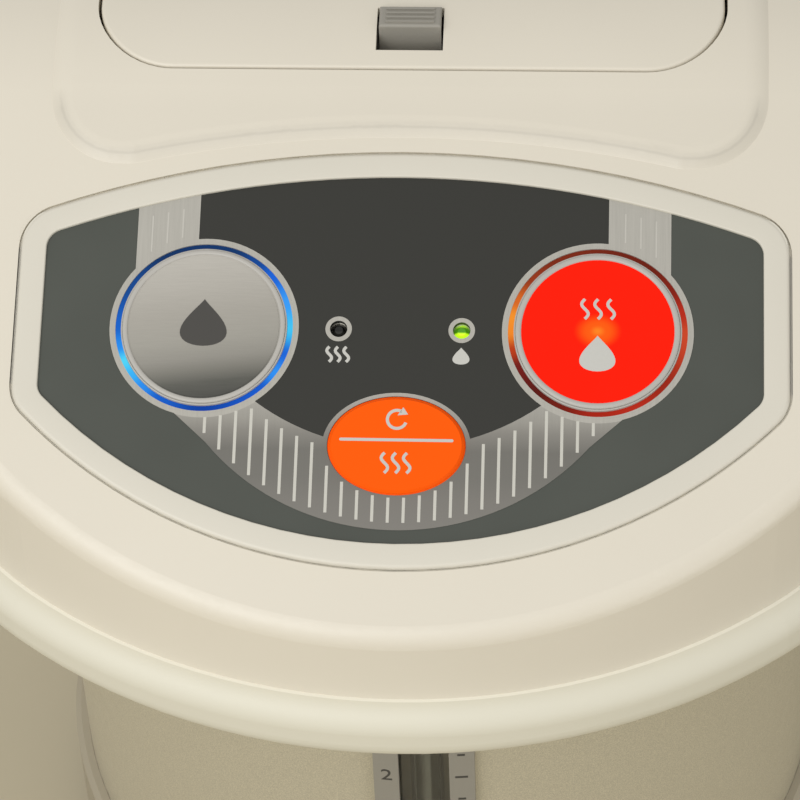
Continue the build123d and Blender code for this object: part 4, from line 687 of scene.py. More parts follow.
WARM_STOPS = tints(
    (0.0, 22, 100, 205), (0.04, 40, 146, 246), (0.07, 84, 222, 255), (0.1, 60, 186, 255),
    (0.13, 46, 146, 245), (0.17, 20, 96, 205), (0.25, 8, 66, 165), (0.37, 20, 92, 208),
    (0.41, 50, 150, 250), (0.45, 26, 104, 222), (0.5, 66, 204, 252), (0.55, 60, 162, 255),
    (0.61, 26, 102, 222), (0.65, 18, 72, 150), (0.7, 14, 52, 100), (0.83, 14, 48, 92),
    (0.92, 22, 74, 144), (1.0, 22, 100, 205),
)
HOT_STOPS = tints(
    (0.0, 250, 142, 40), (0.036, 190, 62, 22), (0.07, 110, 26, 24), (0.13, 84, 20, 16),
    (0.18, 110, 26, 14), (0.25, 170, 36, 18), (0.32, 186, 42, 24), (0.39, 156, 38, 20),
    (0.5, 208, 72, 40), (0.54, 186, 44, 26), (0.59, 130, 32, 18), (0.65, 104, 30, 15),
    (0.83, 122, 42, 20), (0.89, 152, 58, 26), (0.94, 222, 108, 36), (0.97, 252, 152, 44),
    (1.0, 250, 142, 40),
)
WARM_GLOW = LitRing("warm_glow", tint(6, 20, 50), (-BUTTON_X, 0.0), WARM_STOPS)
HOT_GLOW = LitRing("hot_glow", tint(46, 9, 5), (BUTTON_X, 0.0), HOT_STOPS)
HOT_FACE = GlowFace("hot_face", tint(254, 30, 9))
LAMP_DARK = LampLens("lamp_dark", tint(46, 46, 42), (-LAMP_X, 0.0), tint(20, 20, 18))
LAMP_GREEN = LampLens("lamp_green", tint(190, 246, 34), (LAMP_X, 0.0), tint(60, 120, 14), power=0.8)

NODE_FINISH: dict[str, Finish] = {
    node: finish
    for finish, nodes in (
        (NEAR_BLACK, "swivel_plate swivel_clip inlet_socket switches"),
        (RUBBER, "feet"),
        (TAUPE, "base_pan"),
        (OFF_WHITE, "glide_pads mouth_ring pump_housings tip_valves spouts lid_inner"),
        (BRASS, "inlet_pins"),
        (SHELL, "body_shell"),
        (WARM_GREY, "gauge_frame handle_pins steam_cap lid_lock"),
        (WINDOW, "gauge_window"),
        (GLASS, "gauge_tube"),
        (SILICONE, "gauge_seals pot_gasket pump_hoses spout_elbows keypad_mat lid_gasket"),
        (POT, "inner_pot pot_neck"),
        (HEATER, "heater_plate"),
        (BAND, "band_heater"),
        (CERAMIC, "thermostat"),
        (FELT, "insulation_jacket"),
        (CAN, "pump_motors"),
        (ROTOR, "hot_impeller warm_impeller"),
        (PIPES, "cooling_loop warm_riser hot_riser hinge_pin"),
        (CREAM, "spout_housing handle lid_cover"),
        (COLLAR, "collar"),
        (TOP_COVER, "head_cover"),
        (BEZEL, "bezel"),
        (FILM, "label_plate"),
        (SILVER, "silver_foil"),
        (WARM_GLOW, "warm_light_ring"),
        (HOT_GLOW, "hot_light_ring"),
        (BUTTON, "warm_button"),
        (BRIGHT, "hot_button"),
        (HOT_FACE, "hot_lens"),
        (ORANGE, "reboil_button"),
        (BOARD, "control_board power_board"),
        (ZINC, "board_screws"),
        (LAMP_DARK, "led_left"),
        (LAMP_GREEN, "led_right"),
        (CASES, "power_parts"),
        (WIRE, "wire_harness"),
    )
    for node in nodes.split()
}


def put(name: str, data: bpy.types.ID) -> bpy.types.Object:
    """Make an object of some data and put it in the scene."""
    made = bpy.data.objects.new(name, data)
    bpy.context.scene.collection.objects.link(made)
    return made


def baked(carrier: bpy.types.Object, name: str) -> bpy.types.Mesh:
    """Turn an object with a modifier or with text into a plain mesh, and put the object away."""
    depsgraph = bpy.context.evaluated_depsgraph_get()
    data = bpy.data.meshes.new_from_object(carrier.evaluated_get(depsgraph))
    data.name = name
    carrier.modifiers.clear()
    bpy.data.objects.remove(carrier)
    return data


def settle(
    name: str,
    data: bpy.types.Mesh,
    finish: Finish,
    body: str = "dispenser",
    smooth_angle: float = 35.0,
) -> bpy.types.Object:
    """Make a finished mesh an object of the scene that rides on a body.

    Args:
        name: Name of the object.
        data: Its mesh, already in place.
        finish: Its finish.
        body: The body that carries it.
        smooth_angle: Edges flatter than this many degrees are shaded smooth.

    Returns:
        The new object.
    """
    made = put(name, data)
    data.materials.clear()
    data.materials.append(finish.material())
    data.shade_smooth()
    data.set_sharp_from_angle(angle=math.radians(smooth_angle))
    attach(made, body)
    return made


def arc(centre: Spot, radius: float, start: float, end: float, steps: int) -> list[Spot]:
    """Points along an arc, its ends included, with angles in degrees."""
    angles = [math.radians(start + (end - start) * k / steps) for k in range(steps + 1)]
    return [(centre[0] + radius * math.cos(a), centre[1] + radius * math.sin(a)) for a in angles]


def ribbon(path: Sequence[Spot], width: float) -> list[Spot]:
    """Outline of a stroke along a path."""
    left, right = [], []
    for k, (x, y) in enumerate(path):
        before, after = path[max(k - 1, 0)], path[min(k + 1, len(path) - 1)]
        along = Vector((after[0] - before[0], after[1] - before[1])).normalized() * width / 2
        left.append((x - along.y, y + along.x))
        right.append((x + along.y, y - along.x))
    return right + left[::-1]


@dataclass
class Piece:
    """A mesh under construction on the panel that becomes one object riding on a body."""

    name: str
    finish: Finish
    slot: str
    body: str = "dispenser"
    mesh: bmesh.types.BMesh = field(default_factory=bmesh.new)

    def ring(self, outline: Sequence[Spot], height: float) -> list[bmesh.types.BMVert]:
        """Corners over an outline at one height."""
        return [self.mesh.verts.new(PANEL.at(x, y, height)) for x, y in outline]

    def join(self, first: list[bmesh.types.BMVert], second: list[bmesh.types.BMVert]) -> None:
        """Wall between two rings, either of which may be a single point."""
        count = max(len(first), len(second))
        for k in range(count):
            a, b = first[k % len(first)], first[(k + 1) % count % len(first)]
            c, d = second[(k + 1) % count % len(second)], second[k % len(second)]
            self.mesh.faces.new(list(dict.fromkeys([a, b, c, d])))

    def prism(self, outlines: Sequence[Sequence[Spot]], low: float, high: float) -> Piece:
        """Raise a closed prism over each outline, from one height to another."""
        for outline in outlines:
            under, over = self.ring(outline, low), self.ring(outline, high)
            self.mesh.faces.new(over)
            self.mesh.faces.new(under[::-1])
            self.join(under, over)
        return self

    def loop(self, profile: Sequence[tuple[Sequence[Spot], float]], closed: bool = True) -> Piece:
        """Carry a profile round, given as outlines of as many corners each and their heights."""
        rings = [self.ring(outline, height) for outline, height in profile]
        following = rings[1:] + (rings[:1] if closed else [])
        for first, second in zip(rings, following):
            self.join(first, second)
        return self

    def lathe(self, profile: Sequence[Spot], centre: Spot, steps: int = 96) -> Piece:
        """Turn a profile about an axis that stands on the panel.

        Args:
            profile: Radius and height pairs, either closed or with its ends on the axis.
            centre: Where the axis stands.
            steps: Number of faces round.

        Returns:
            The piece itself.
        """
        rings = []
        for radius, height in profile:
            rings.append((arc(centre, radius, 0, 360, steps)[:-1] if radius > 0 else [centre], height))
        return self.loop(rings, closed=profile[0][0] > 0)

    def close(self) -> bpy.types.Mesh:
        """Merge doubled corners, turn the faces outwards and make it a mesh."""
        bmesh.ops.remove_doubles(self.mesh, verts=self.mesh.verts, dist=1e-7)
        bmesh.ops.recalc_face_normals(self.mesh, faces=self.mesh.faces)
        data = bpy.data.meshes.new(self.name)
        self.mesh.to_mesh(data)
        self.mesh.free()
        return data

    def build(self, smooth_angle: float = 35.0) -> None:
        """Make the object and let it ride on its body."""
        settle(self.name, self.close(), self.finish, self.body, smooth_angle)


class Rule(Web):
    """A geometry node tree with named sizes that ends as a plain mesh."""

    def __init__(self, name: str, sizes: dict[str, float]) -> None:
        """Start a tree whose inputs are the named sizes."""
        super().__init__(bpy.data.node_groups.new(name, "GeometryNodeTree"))
        self.name = name
        self.sizes = sizes
        self.sockets = {}
        self.tree.interface.new_socket(name="Geometry", in_out="OUTPUT", socket_type="NodeSocketGeometry")
        for size in sizes:
            kind = "NodeSocketInt" if size == "Count" else "NodeSocketFloat"
            socket = self.tree.interface.new_socket(name=size, in_out="INPUT", socket_type=kind)
            self.sockets[size] = socket.identifier
        self.enter = self.add("NodeGroupInput")

    def __getitem__(self, size: str) -> Wire:
        """A named size."""
        return Wire(self, self.enter.outputs[size])

    def vector(self, x: object, y: object, z: object) -> Wire:
        """A vector of three numbers or wires."""
        return self.step("ShaderNodeCombineXYZ", (x, y, z))

    def choose(self, when: Wire, otherwise: object, then: object) -> Wire:
        """The last value where the test holds, and else the one before it."""
        return self.step("GeometryNodeSwitch", (when, otherwise, then), input_type="FLOAT")

    def line(self, low: Sequence[object], high: Sequence[object]) -> Wire:
        """As many points as the size Count says, spread evenly between two places."""
        feeds = {"Count": self["Count"], "Start Location": self.vector(*low), "Offset": self.vector(*high)}
        return self.step("GeometryNodeMeshLine", feeds, mode="END_POINTS", count_mode="TOTAL")

    def bars(self, points: Wire, size: Wire, turn: float = 0.0) -> Wire:
        """A box of a size on each point, turned about its upright axis."""
        box = self.step("GeometryNodeMeshCube", {"Size": (1.0, 1.0, 1.0)})
        feeds = {"Points": points, "Instance": box, "Rotation": (0.0, 0.0, turn), "Scale": size}
        return self.step("GeometryNodeInstanceOnPoints", feeds)

    def finish(
        self,
        geometry: Wire,
        finish: Finish,
        slot: str,
        body: str = "dispenser",
        shift: Sequence[float] = (0.0, 0.0, 0.0),
        turn: float = 0.0,
    ) -> None:
        """Place the result, make its copies real and turn it into a plain mesh.

        Args:
            geometry: The last geometry, in millimetres.
            finish: Its finish.
            slot: Not used.
            body: The body that carries it.
            shift: Where its zero goes, in metres.
            turn: Turn about the X axis in radians.
        """
        turned = Euler((turn, 0.0, 0.0))
        feeds = {"Geometry": geometry, "Translation": shift, "Rotation": turned, "Scale": (MM, MM, MM)}
        real = self.step("GeometryNodeRealizeInstances", (self.step("GeometryNodeTransform", feeds),))
        painted = self.step("GeometryNodeSetMaterial", {"Geometry": real, "Material": finish.material()})
        self.add("NodeGroupOutput", (painted,))
        carrier = put(f"{self.name}_carrier", bpy.data.meshes.new(f"{self.name}_seed"))
        modifier = carrier.modifiers.new(self.name, "NODES")
        modifier.node_group = self.tree
        for size, value in self.sizes.items():
            modifier[self.sockets[size]] = value
        settle(self.name, baked(carrier, self.name), finish, body)


@dataclass(frozen=True)
class Signs:
    """Plain signs that stand for what a control does, drawn about a spot."""

    stroke: float = 0.62
    drop_width: float = 0.66
    drop_point: float = 1.4
    sway: float = 0.16

    def drop(self, spot: Spot, size: float) -> list[Spot]:
        """Outline of a water drop."""
        outline = []
        for k in range(40):
            angle = 2 * math.pi * k / 40
            x = self.drop_width * size * math.sin(angle) * math.sin(angle / 2) ** self.drop_point
            outline.append((spot[0] - x, spot[1] + size / 2 * math.cos(angle)))
        return outline

    def wisps(self, spot: Spot, height: float, pitch: float) -> list[list[Spot]]:
        """Outlines of three rising wisps of steam."""
        outlines = []
        for shift in (-pitch, 0.0, pitch):
            path = []
            for k in range(17):
                sway = self.sway * height * math.sin(2 * math.pi * k / 16)
                path.append((spot[0] + shift + sway, spot[1] + height * (k / 16 - 0.5)))
            outlines.append(ribbon(path, self.stroke))
        return outlines

    def turning_arrow(self, spot: Spot, radius: float) -> list[list[Spot]]:
        """Outlines of an arrow that goes round most of a circle."""
        stem = ribbon(arc(spot, radius, 60, 340, 28), self.stroke)
        x, y = arc(spot, radius, 55, 55, 1)[0]
        return [stem, [(x + 1.1, y - 0.5), (x + 0.1, y + 1.0), (x - 1.0, y - 0.7)]]

    def bar(self, spot: Spot, length: float) -> list[Spot]:
        """Outline of a level bar with round ends."""
        half = (length - self.stroke) / 2
        right = arc((spot[0] + half, spot[1]), self.stroke / 2, -90, 90, 8)
        return right + arc((spot[0] - half, spot[1]), self.stroke / 2, 90, 270, 8)


def on_both_sides(outline: Sequence[Spot]) -> list[list[Spot]]:
    """The outline on the warm and on the hot side."""
    return [[(x * side.value, y) for x, y in outline] for side in Side]


@dataclass
class ControlPanel:
    """The tilted panel: bezel, silver band, ticks, round buttons, lamps and the oval key."""

    nodes: dict[str, bpy.types.Object]
    half: float = 77.4
    low_radius: float = 105.3
    low_up: float = 55.2
    top: float = 38.1
    top_radius: float = 208.0
    corner: float = 9.2
    packed_corner: float = 6.0
    arc_steps: int = 28
    corner_steps: int = 10
    gap: float = 0.45
    proud: float = 0.5
    roll: float = 0.9
    lip: float = 0.35
    label_in: float = 5.2
    label_top: float = -0.2
    foil_top: float = -0.08
    button_top: float = 0.5
    button_radius: float = 16.4
    face_radius: float = 15.1
    dome_rise: float = 0.42
    rim_inner: tuple[tuple[Side, float], ...] = ((Side.WARM, 15.35), (Side.HOT, 15.2))
    ring_in: float = 16.72
    ring_out: float = 17.86
    lip_out: float = 18.3
    band_up: float = 7.6
    upright: Spot = (41.3, 53.8)
    key_up: float = -24.5
    key_half: Spot = (13.4, 10.0)
    tick_pitch: float = 3.08
    shortest_tick: float = 0.25
    signs: Signs = Signs()

    def outline(self, grow: float, corner: float | None = None) -> list[Spot]:
        """Outline of the panel's form, grown by grow, turning left from the lower right.

        Args:
            grow: Distance outwards.
            corner: Radius of the corners before growing, if not the usual one.

        Returns:
            The corners in order.
        """
        radius = (self.corner if corner is None else corner) + grow
        inner = grow - radius
        steps, bend = self.arc_steps, self.corner_steps
        half = self.half + inner
        low_r, top_r = self.low_radius + inner, self.top_radius + inner
        top_up = self.top - self.top_radius
        low_y = self.low_up - math.sqrt(low_r**2 - half**2)
        high_y = top_up + math.sqrt(top_r**2 - half**2)
        low_turn = math.degrees(math.asin(half / low_r))
        top_turn = math.degrees(math.asin(half / top_r))
        points = arc((0, self.low_up), low_r + radius, 270 - low_turn, 270 + low_turn, steps)
        points += arc((half, low_y), radius, low_turn - 90, 0, bend)[1:]
        points += arc((half, high_y), radius, 0, 90 - top_turn, bend)
        points += arc((0, top_up), top_r + radius, 90 - top_turn, 90 + top_turn, steps)[1:]
        points += arc((-half, high_y), radius, 90 + top_turn, 180, bend)[1:]
        points += arc((-half, low_y), radius, 180, 270 - low_turn, bend)[:-1]
        return points

    def bezel(self) -> None:
        """The moulded bezel with rounder corners, its floor and bosses as packed."""
        block = Piece("bezel_cutter", BEZEL, "cream_plastic")
        cutter = put(block.name, block.prism([self.outline(0.0)], -30.0, self.proud - 0.2).close())
        copied = put("bezel_carrier", self.nodes["bezel"].data.copy())
        step = copied.modifiers.new("corners", "BOOLEAN")
        step.operation, step.solver, step.object = "INTERSECT", "EXACT", cutter
        data = baked(copied, "bezel_moulding")
        bpy.data.objects.remove(cutter)
        made = settle("bezel_moulding", data, BEZEL, smooth_angle=30.0)
        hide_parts("bezel")

    def bezel_face(self) -> None:
        """The bezel's face: rolled over at its outer edge, rolled down to the label inside."""
        flange, floor = self.outline(self.gap - 0.04), -0.7
        profile = [(flange, -1.3), (flange, floor), (self.outline(0.0), floor)]
        for k in range(8):
            turn = math.pi / 2 * k / 7
            height = self.proud - self.roll * (1 - math.sin(turn))
            profile.append((self.outline(-self.roll * (1 - math.cos(turn))), height))
        for k in range(6):
            turn = math.pi / 2 * k / 5
            grow = -self.label_in + self.lip * (1 - math.sin(turn))
            profile.append((self.outline(grow), self.proud - self.lip * (1 - math.cos(turn))))
        profile.append((self.outline(-self.label_in), self.label_top - 0.1))
        Piece("bezel_face", BEZEL, "cream_plastic").loop(profile).build(40.0)

    def cover_corners(self) -> None:
        """The rounder corners of the cover's opening, level with the cover and sunk into its wall."""
        inner, outer = self.outline(self.gap), self.outline(self.gap + 0.8, corner=self.packed_corner)
        sunk, level = -1.25, -0.02
        profile = [(outer, sunk), (outer, level), (inner, level), (inner, sunk)]
        Piece("cover_corners", CREAM, "cream_plastic").loop(profile).build()

    def ring_lips(self) -> None:
        """Thin satin lips inside and outside each lit ring."""
        low, high = self.label_top - 0.25, self.foil_top + 0.02
        near, far, top = self.button_radius + 0.035, self.ring_in, self.button_top - 0.12
        wide = [(self.lip_out, low), (self.lip_out, high), (self.ring_out, high), (self.ring_out, low)]
        slim = [(near, low), (far, low), (far, top - 0.08), (far - 0.07, top)]
        slim += [(near + 0.02, top), (near, top - 0.02)]
        for side in Side:
            name, centre = side.name.lower(), (side.value * BUTTON_X, 0.0)
            Piece(f"{name}_outer_lip", SILVER, "silver_film").lathe(wide, centre, 128).build()
            Piece(f"{name}_inner_lip", BRIGHT, "button_metal").lathe(slim, centre, 128).build(60.0)

    def fill_band(self, name: str, outline: Sequence[Spot]) -> None:
        """Fill the silver band on both sides."""
        fill = Piece(name, SILVER, "silver_film")
        fill.prism(on_both_sides(outline), self.label_top - 0.04, self.foil_top + 0.005).build()

    def swoop_corners(self) -> None:
        """Where the band's outer edge runs straight into the rings."""
        edge = arc((0.0, self.band_up), 49.3, 316.5, 327.5, 8)
        self.fill_band("swoop_corners", edge + arc((BUTTON_X, 0.0), 18.9, 276.0, 286.5, 6))

    def upright_ends(self) -> None:
        """Where the band's uprights run on to the bezel at the label's top edge."""
        inner, outer = self.upright
        top_up, radius = self.top - self.top_radius, self.top_radius - self.label_in
        steps = [inner + (outer - inner) * k / 8 for k in range(9)]
        near = [(x, top_up + math.sqrt((radius - 0.7) ** 2 - x**2)) for x in steps]
        far = [(x, top_up + math.sqrt((radius + 0.02) ** 2 - x**2)) for x in steps]
        self.fill_band("upright_ends", near + far[::-1])

    def swoop_ticks(self) -> None:
        """Bright upright ticks across the swoop, each cut to the band by the rule."""
        sizes = {"Count": 26, "Pitch": self.tick_pitch, "Shift": 0.25, "Width": 0.6, "Far": 99.0}
        sizes |= {"Outer radius": 49.6, "Outer centre": self.band_up, "Outer margin": 1.5}
        sizes |= {"Inner radius": 47.4, "Inner centre": 22.3, "Inner margin": 2.0}
        sizes |= {"Ring radius": 19.15, "Ring place": BUTTON_X}
        sizes |= {"Oval half": 14.9, "Oval drop": 10.85, "Oval centre": self.key_up}
        rule = Rule("swoop_ticks", sizes)
        half = (rule["Count"] - 1.0) * rule["Pitch"] * 0.5
        points = rule.line((rule["Shift"] - half, 0.0, 0.0), (rule["Shift"] + half, 0.0, 0.0))
        across = rule.parts(rule.step("GeometryNodeInputPosition"))[0]
        side = abs(across)
        low = rule["Outer centre"] - half_chord(rule["Outer radius"], across) + rule["Outer margin"]
        high = rule["Inner centre"] - half_chord(rule["Inner radius"], across) - rule["Inner margin"]
        off_ring = abs(side - rule["Ring place"])
        under_ring = half_chord(rule["Ring radius"], off_ring) * -1.0
        high = high.lower(rule.choose(off_ring < rule["Ring radius"], rule["Far"], under_ring))
        under_oval = rule["Oval centre"] - half_chord(1.0, across / rule["Oval half"]) * rule["Oval drop"]
        high = high.lower(rule.choose(side < rule["Oval half"], rule["Far"], under_oval))
        self.stand_ticks(rule, points, low, high, TICK)

    def upright_ticks(self) -> None:
        """Three bright lines in each upright of the band, from the ring to the label's top edge."""
        for side in Side:
            first, last = sorted(side.value * place * self.tick_pitch for place in (14.5, 16.5))
            sizes = {"Count": 3, "First": first, "Last": last, "Width": 0.3, "Margin": 0.9}
            sizes |= {"Ring radius": 19.05, "Ring place": BUTTON_X}
            sizes |= {"Top radius": self.top_radius - self.label_in - 2.4}
            sizes |= {"Top centre": self.top - self.top_radius}
            rule = Rule(f"upright_ticks_{side.name.lower()}", sizes)
            points = rule.line((rule["First"], 0.0, 0.0), (rule["Last"], 0.0, 0.0))
            across = rule.parts(rule.step("GeometryNodeInputPosition"))[0]
            low = half_chord(rule["Ring radius"], abs(across) - rule["Ring place"]) + rule["Margin"]
            high = rule["Top centre"] + half_chord(rule["Top radius"], across)
            self.stand_ticks(rule, points, low, high, FAINT_TICK)

    def stand_ticks(self, rule: Rule, points: Wire, low: Wire, high: Wire, finish: Finish) -> None:
        """Stand one thin tick on each point that leaves room for it.

        Args:
            rule: The tree that the ticks belong to.
            points: The points across.
            low: Each tick's lower end.
            high: Each tick's upper end.
            finish: The ticks' finish.
        """
        length, middle = high - low, (high + low) * 0.5
        across = rule.parts(rule.step("GeometryNodeInputPosition"))[0]
        feeds = {"Geometry": points, "Name": "length", "Value": length}
        stored = rule.step("GeometryNodeStoreNamedAttribute", feeds, data_type="FLOAT", domain="POINT")
        feeds = {"Geometry": stored, "Selection": length < self.shortest_tick}
        kept = rule.step("GeometryNodeDeleteGeometry", feeds, domain="POINT")
        feeds = {"Geometry": kept, "Position": rule.vector(across, middle, self.foil_top - 0.01)}
        moved = rule.step("GeometryNodeSetPosition", feeds)
        named = rule.step("GeometryNodeInputNamedAttribute", {"Name": "length"}, data_type="FLOAT")
        bars = rule.bars(moved, rule.vector(rule["Width"], named, 0.09))
        rule.finish(bars, finish, "silver_film", shift=PANEL.at(0, 0, 0), turn=PANEL.turn)

    def warm_face(self) -> None:
        """The domed brushed face of the warm button."""
        top, foot = self.button_top, self.button_top - 0.1
        dome = []
        for k in range(12, -1, -1):
            share = k / 12
            dome.append((self.face_radius * share, top + self.dome_rise * (1 - share**2) + 0.05))
        face = Piece("warm_button_face", BUTTON, "button_metal", "warm_key")
        face.lathe([(0.0, foot), (self.face_radius, foot), *dome], (-BUTTON_X, 0.0)).build(60.0)

    def button_rims(self) -> None:
        """A bright rounded rim round each round button's face, sunk a little into the cap below."""
        top, foot, outer = self.button_top, self.button_top - 0.25, self.button_radius - 0.01
        for side, inner in self.rim_inner:
            radius, middle = (outer - inner) / 2, (outer + inner) / 2
            crown = [(middle + x, top + 0.55 * y) for x, y in arc((0.0, 0.0), radius, 0, 180, 10)]
            name = side.name.lower()
            rim = Piece(f"{name}_button_rim", BRIGHT, "button_metal", f"{name}_key")
            rim.lathe([(inner, foot), (outer, foot), *crown], (side.value * BUTTON_X, 0.0)).build(60.0)

    def key_skirt(self) -> None:
        """The oval key's skirt, which nearly fills the gap round it."""
        wide, tall = self.key_half
        rings = []
        circle = arc((0.0, 0.0), 1.0, 0, 360, 96)[:-1]
        for grow, height in ((-0.3, -1.4), (0.28, -1.4), (0.28, -0.28), (0.05, -0.2), (-0.3, -0.2)):
            rings.append(([((wide + grow) * x, (tall + grow) * y + self.key_up) for x, y in circle], height))
        Piece("reboil_skirt", ORANGE, "orange_plastic", "reboil_key").loop(rings).build()

    def print_signs(self) -> None:
        """Plain signs on the keys and by the lamps in place of words."""
        signs, top, label = self.signs, self.button_top, self.label_top
        flat, domed = (top - 0.05, top + 0.05), (top + 0.3, top + 0.49)
        warm = [signs.drop((-BUTTON_X, 0.6), 10.0)]
        hot = [signs.drop((BUTTON_X, -4.7), 7.6), *signs.wisps((BUTTON_X, 4.7), 4.2, 2.6)]
        oval = [signs.bar((0.0, -23.5), 22.6), *signs.turning_arrow((0.0, -19.2), 1.9)]
        oval += signs.wisps((0.0, -28.3), 4.2, 2.2)
        lamps = [*signs.wisps((-LAMP_X, -5.4), 3.2, 1.7), signs.drop((LAMP_X, -5.4), 3.6)]
        Piece("warm_sign", DARK_PRINT, "label_print", "warm_key").prism(warm, *domed).build()
        Piece("hot_sign", PALE_PRINT, "silver_film", "hot_key").prism(hot, *flat).build()
        Piece("reboil_sign", PALE_PRINT, "silver_film", "reboil_key").prism(oval, *flat).build()
        Piece("lamp_signs", PALE_PRINT, "silver_film").prism(lamps, label - 0.05, label + 0.04).build()

    def build(self) -> None:
        """Build the whole panel."""
        self.bezel()
        self.bezel_face()
        self.cover_corners()
        self.ring_lips()
        self.swoop_corners()
        self.upright_ends()
        self.swoop_ticks()
        self.upright_ticks()
        self.warm_face()
        self.button_rims()
        self.key_skirt()
        self.print_signs()


@dataclass
class LevelGauge:
    """Scale beside the level window in the front of the body."""

    radius: float = 100.4
    low: float = 84.0
    high: float = 190.0
    marks: int = 13
    mark_x: float = 8.9
    figure_size: float = 6.0
    figures: tuple[str, ...] = ("1", "2", "3", "4")

    def at(self, across: float, up: float, out: float) -> Vector:
        """Place a point on the front of the round body, out from the gauge frame."""
        angle, far = across / self.radius, self.radius + out
        return Vector((far * math.sin(angle), -far * math.cos(angle), up)) * MM

    def ticks(self) -> None:
        """A ladder of short marks up the right side of the window, every third one long."""
        sizes = {"Count": self.marks, "Low": self.low, "High": self.high, "Long": 3.0, "Thin": 0.7}
        rule = Rule("gauge_ticks", sizes)
        x, y, _ = self.at(self.mark_x, 0.0, 0.0) / MM
        points = rule.line((x, y, rule["Low"]), (x, y, rule["High"]))
        third = rule.step("GeometryNodeInputIndex") % 3.0 < 0.5
        width = rule.choose(third, rule["Long"] * 0.6, rule["Long"])
        bars = rule.bars(points, rule.vector(width, 0.12, rule["Thin"]), self.mark_x / self.radius)
        rule.finish(bars, DARK_PRINT, "label_print")

    def numbers(self) -> None:
        """Plain figures up the left side of the window."""
        for number, figure in enumerate(self.figures, start=1):
            data = bpy.data.curves.new("figure", "FONT")
            data.body, data.size, data.extrude, data.resolution_u = figure, self.figure_size, 0.06, 4
            data.align_x, data.align_y = "CENTER", "CENTER"
            mesh = baked(put("figure_carrier", data), f"gauge_figure_{figure}")
            height = self.low + (self.high - self.low) * number / len(self.figures)
            for vertex in mesh.vertices:
                vertex.co = self.at(vertex.co.x - self.mark_x, height + vertex.co.y, vertex.co.z)
            settle(mesh.name, mesh, DARK_PRINT, smooth_angle=30.0)

    def build(self) -> None:
        """Build the scale."""
        self.ticks()
        self.numbers()


@dataclass
class LidDetails:
    """Small things on the lid: grip ribs on the sliding lock."""

    ribs: int = 4
    rib_y: Spot = (-52.4, -48.6)
    rib_z: float = 335.95
    rib_rise: float = 0.6

    def build(self) -> None:
        """Rib the lock's thumb tab."""
        low, high = self.rib_y
        rule = Rule("lock_ribs", {"Count": self.ribs, "Low": low, "High": high, "Long": 10.0, "Thick": 0.5})
        points = rule.line((0.0, rule["Low"], self.rib_z), (0.0, rule["High"], self.rib_z))
        bars = rule.bars(points, rule.vector(rule["Long"], rule["Thick"], self.rib_rise))
        rule.finish(bars, WARM_GREY, "grey_plastic", "lock")


@dataclass
class Dressing:
    """Finishes for the parts that keep the shape they were packed with."""

    nodes: dict[str, bpy.types.Object]

    def build(self) -> None:
        """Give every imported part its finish."""
        for name, part in self.nodes.items():
            part.data.materials.clear()
            part.data.materials.append(NODE_FINISH[name].material())


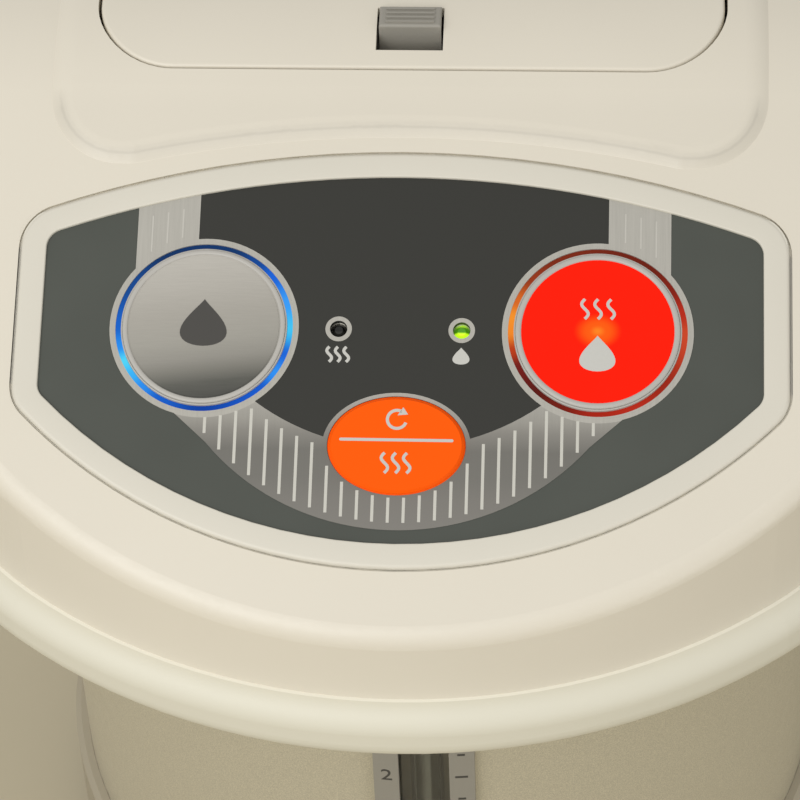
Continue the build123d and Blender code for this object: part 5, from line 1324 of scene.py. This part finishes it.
@dataclass
class Studio:
    """Pale floor, soft lamps and the camera at the photograph's viewing angle."""

    turn: float = 6.23
    rise: float = 48.28
    roll: float = -3.84
    distance: float = 756.4
    focal: float = 3787.9
    centre: Spot = (320.8, 362.7)
    focus: Spot = (400.1, 329.5)
    frame: float = 800.0
    floor_half: float = 6.0

    def floor(self) -> None:
        """A wide pale floor under the object."""
        data = bpy.data.meshes.new("floor")
        half = self.floor_half
        corners = [(-half, -half, 0), (half, -half, 0), (half, half, 0), (-half, half, 0)]
        data.from_pydata(corners, [], [(0, 1, 2, 3)])
        shader = Shader("floor_paint")
        drift = shader.noise(shader.place(), 400.0, 2.0)
        stops = [(0.3, tint(192, 182, 156)), (0.7, tint(197, 187, 161))]
        shader.set(Base_Color=shader.ramp(drift, stops), Roughness=0.7)
        data.materials.append(shader.material)
        put("floor", data)

    def lamp(self, name: str, spot: Sequence[float], aim: Sequence[float], size: float, watts: float) -> None:
        """One square soft lamp.

        Args:
            name: Name of the lamp.
            spot: Its place in metres.
            aim: What it points at, in metres.
            size: Its side in metres.
            watts: Its power.
        """
        data = bpy.data.lights.new(name, "AREA")
        data.size, data.energy = size, watts
        made = put(name, data)
        made.location = spot
        made.rotation_euler = (Vector(aim) - Vector(spot)).to_track_quat("-Z", "Y").to_euler()

    def sky(self) -> None:
        """Even light from all round."""
        world = bpy.data.worlds.new("studio_air")
        bpy.context.scene.world = world
        world.use_nodes = True
        air = Web(world.node_tree)
        air.tree.nodes.clear()
        glow = air.step("ShaderNodeBackground", ((1.0, 0.99, 0.97, 1.0), 0.62))
        air.add("ShaderNodeOutputWorld", {"Surface": glow})

    def camera(self) -> None:
        """Set the camera where the photograph's stood; its focal length and spots are in pixels."""
        turn, rise, roll = (math.radians(angle) for angle in (self.turn, self.rise, self.roll))
        forward = Vector((-math.sin(turn) * math.cos(rise), math.cos(turn) * math.cos(rise), -math.sin(rise)))
        level = Vector((math.cos(turn), math.sin(turn), 0.0))
        upward = level.cross(forward)
        right = math.cos(roll) * level + math.sin(roll) * upward
        over = -math.sin(roll) * level + math.cos(roll) * upward
        data = bpy.data.cameras.new("camera")
        data.sensor_fit = "HORIZONTAL"
        data.sensor_width = 36.0
        data.lens = self.focal / self.frame * data.sensor_width
        data.shift_x = (self.frame / 2 - self.centre[0]) / self.frame
        data.shift_y = (self.centre[1] - self.frame / 2) / self.frame
        data.clip_start = 0.05
        focus_x = (self.focus[0] - self.centre[0]) / self.focal
        focus_y = (self.centre[1] - self.focus[1]) / self.focal
        ray = (forward + right * focus_x + over * focus_y).normalized()
        spot = PANEL.at(0.0, 0.0, 0.0) - ray * self.distance * MM
        made = put("camera", data)
        made.matrix_world = Matrix.Translation(spot) @ Matrix((right, over, -forward)).transposed().to_4x4()
        bpy.context.scene.camera = made

    def build(self) -> None:
        """Build the set."""
        self.floor()
        self.sky()
        self.lamp("key_light", (-0.357, -0.742, 0.923), (0, -0.13, 0.29), 0.7, 5.05)
        self.lamp("fill_light", (0.75, -0.85, 0.22), (0.05, -0.12, 0.24), 0.6, 1.3)
        self.camera()
        bpy.context.scene.view_settings.view_transform = "Standard"


def main() -> None:
    """Build the dispenser's dressing piece by piece and report each."""
    logging.basicConfig(level=logging.INFO, format="%(message)s")
    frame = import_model()
    builders = {
        "finishes": Dressing(frame["nodes"]),
        "control panel": ControlPanel(frame["nodes"]),
        "level gauge": LevelGauge(),
        "lid details": LidDetails(),
        "studio": Studio(),
    }
    for name, builder in builders.items():
        builder.build()
        LOG.info("built the %s", name)


if __name__ == "__main__":
    main()
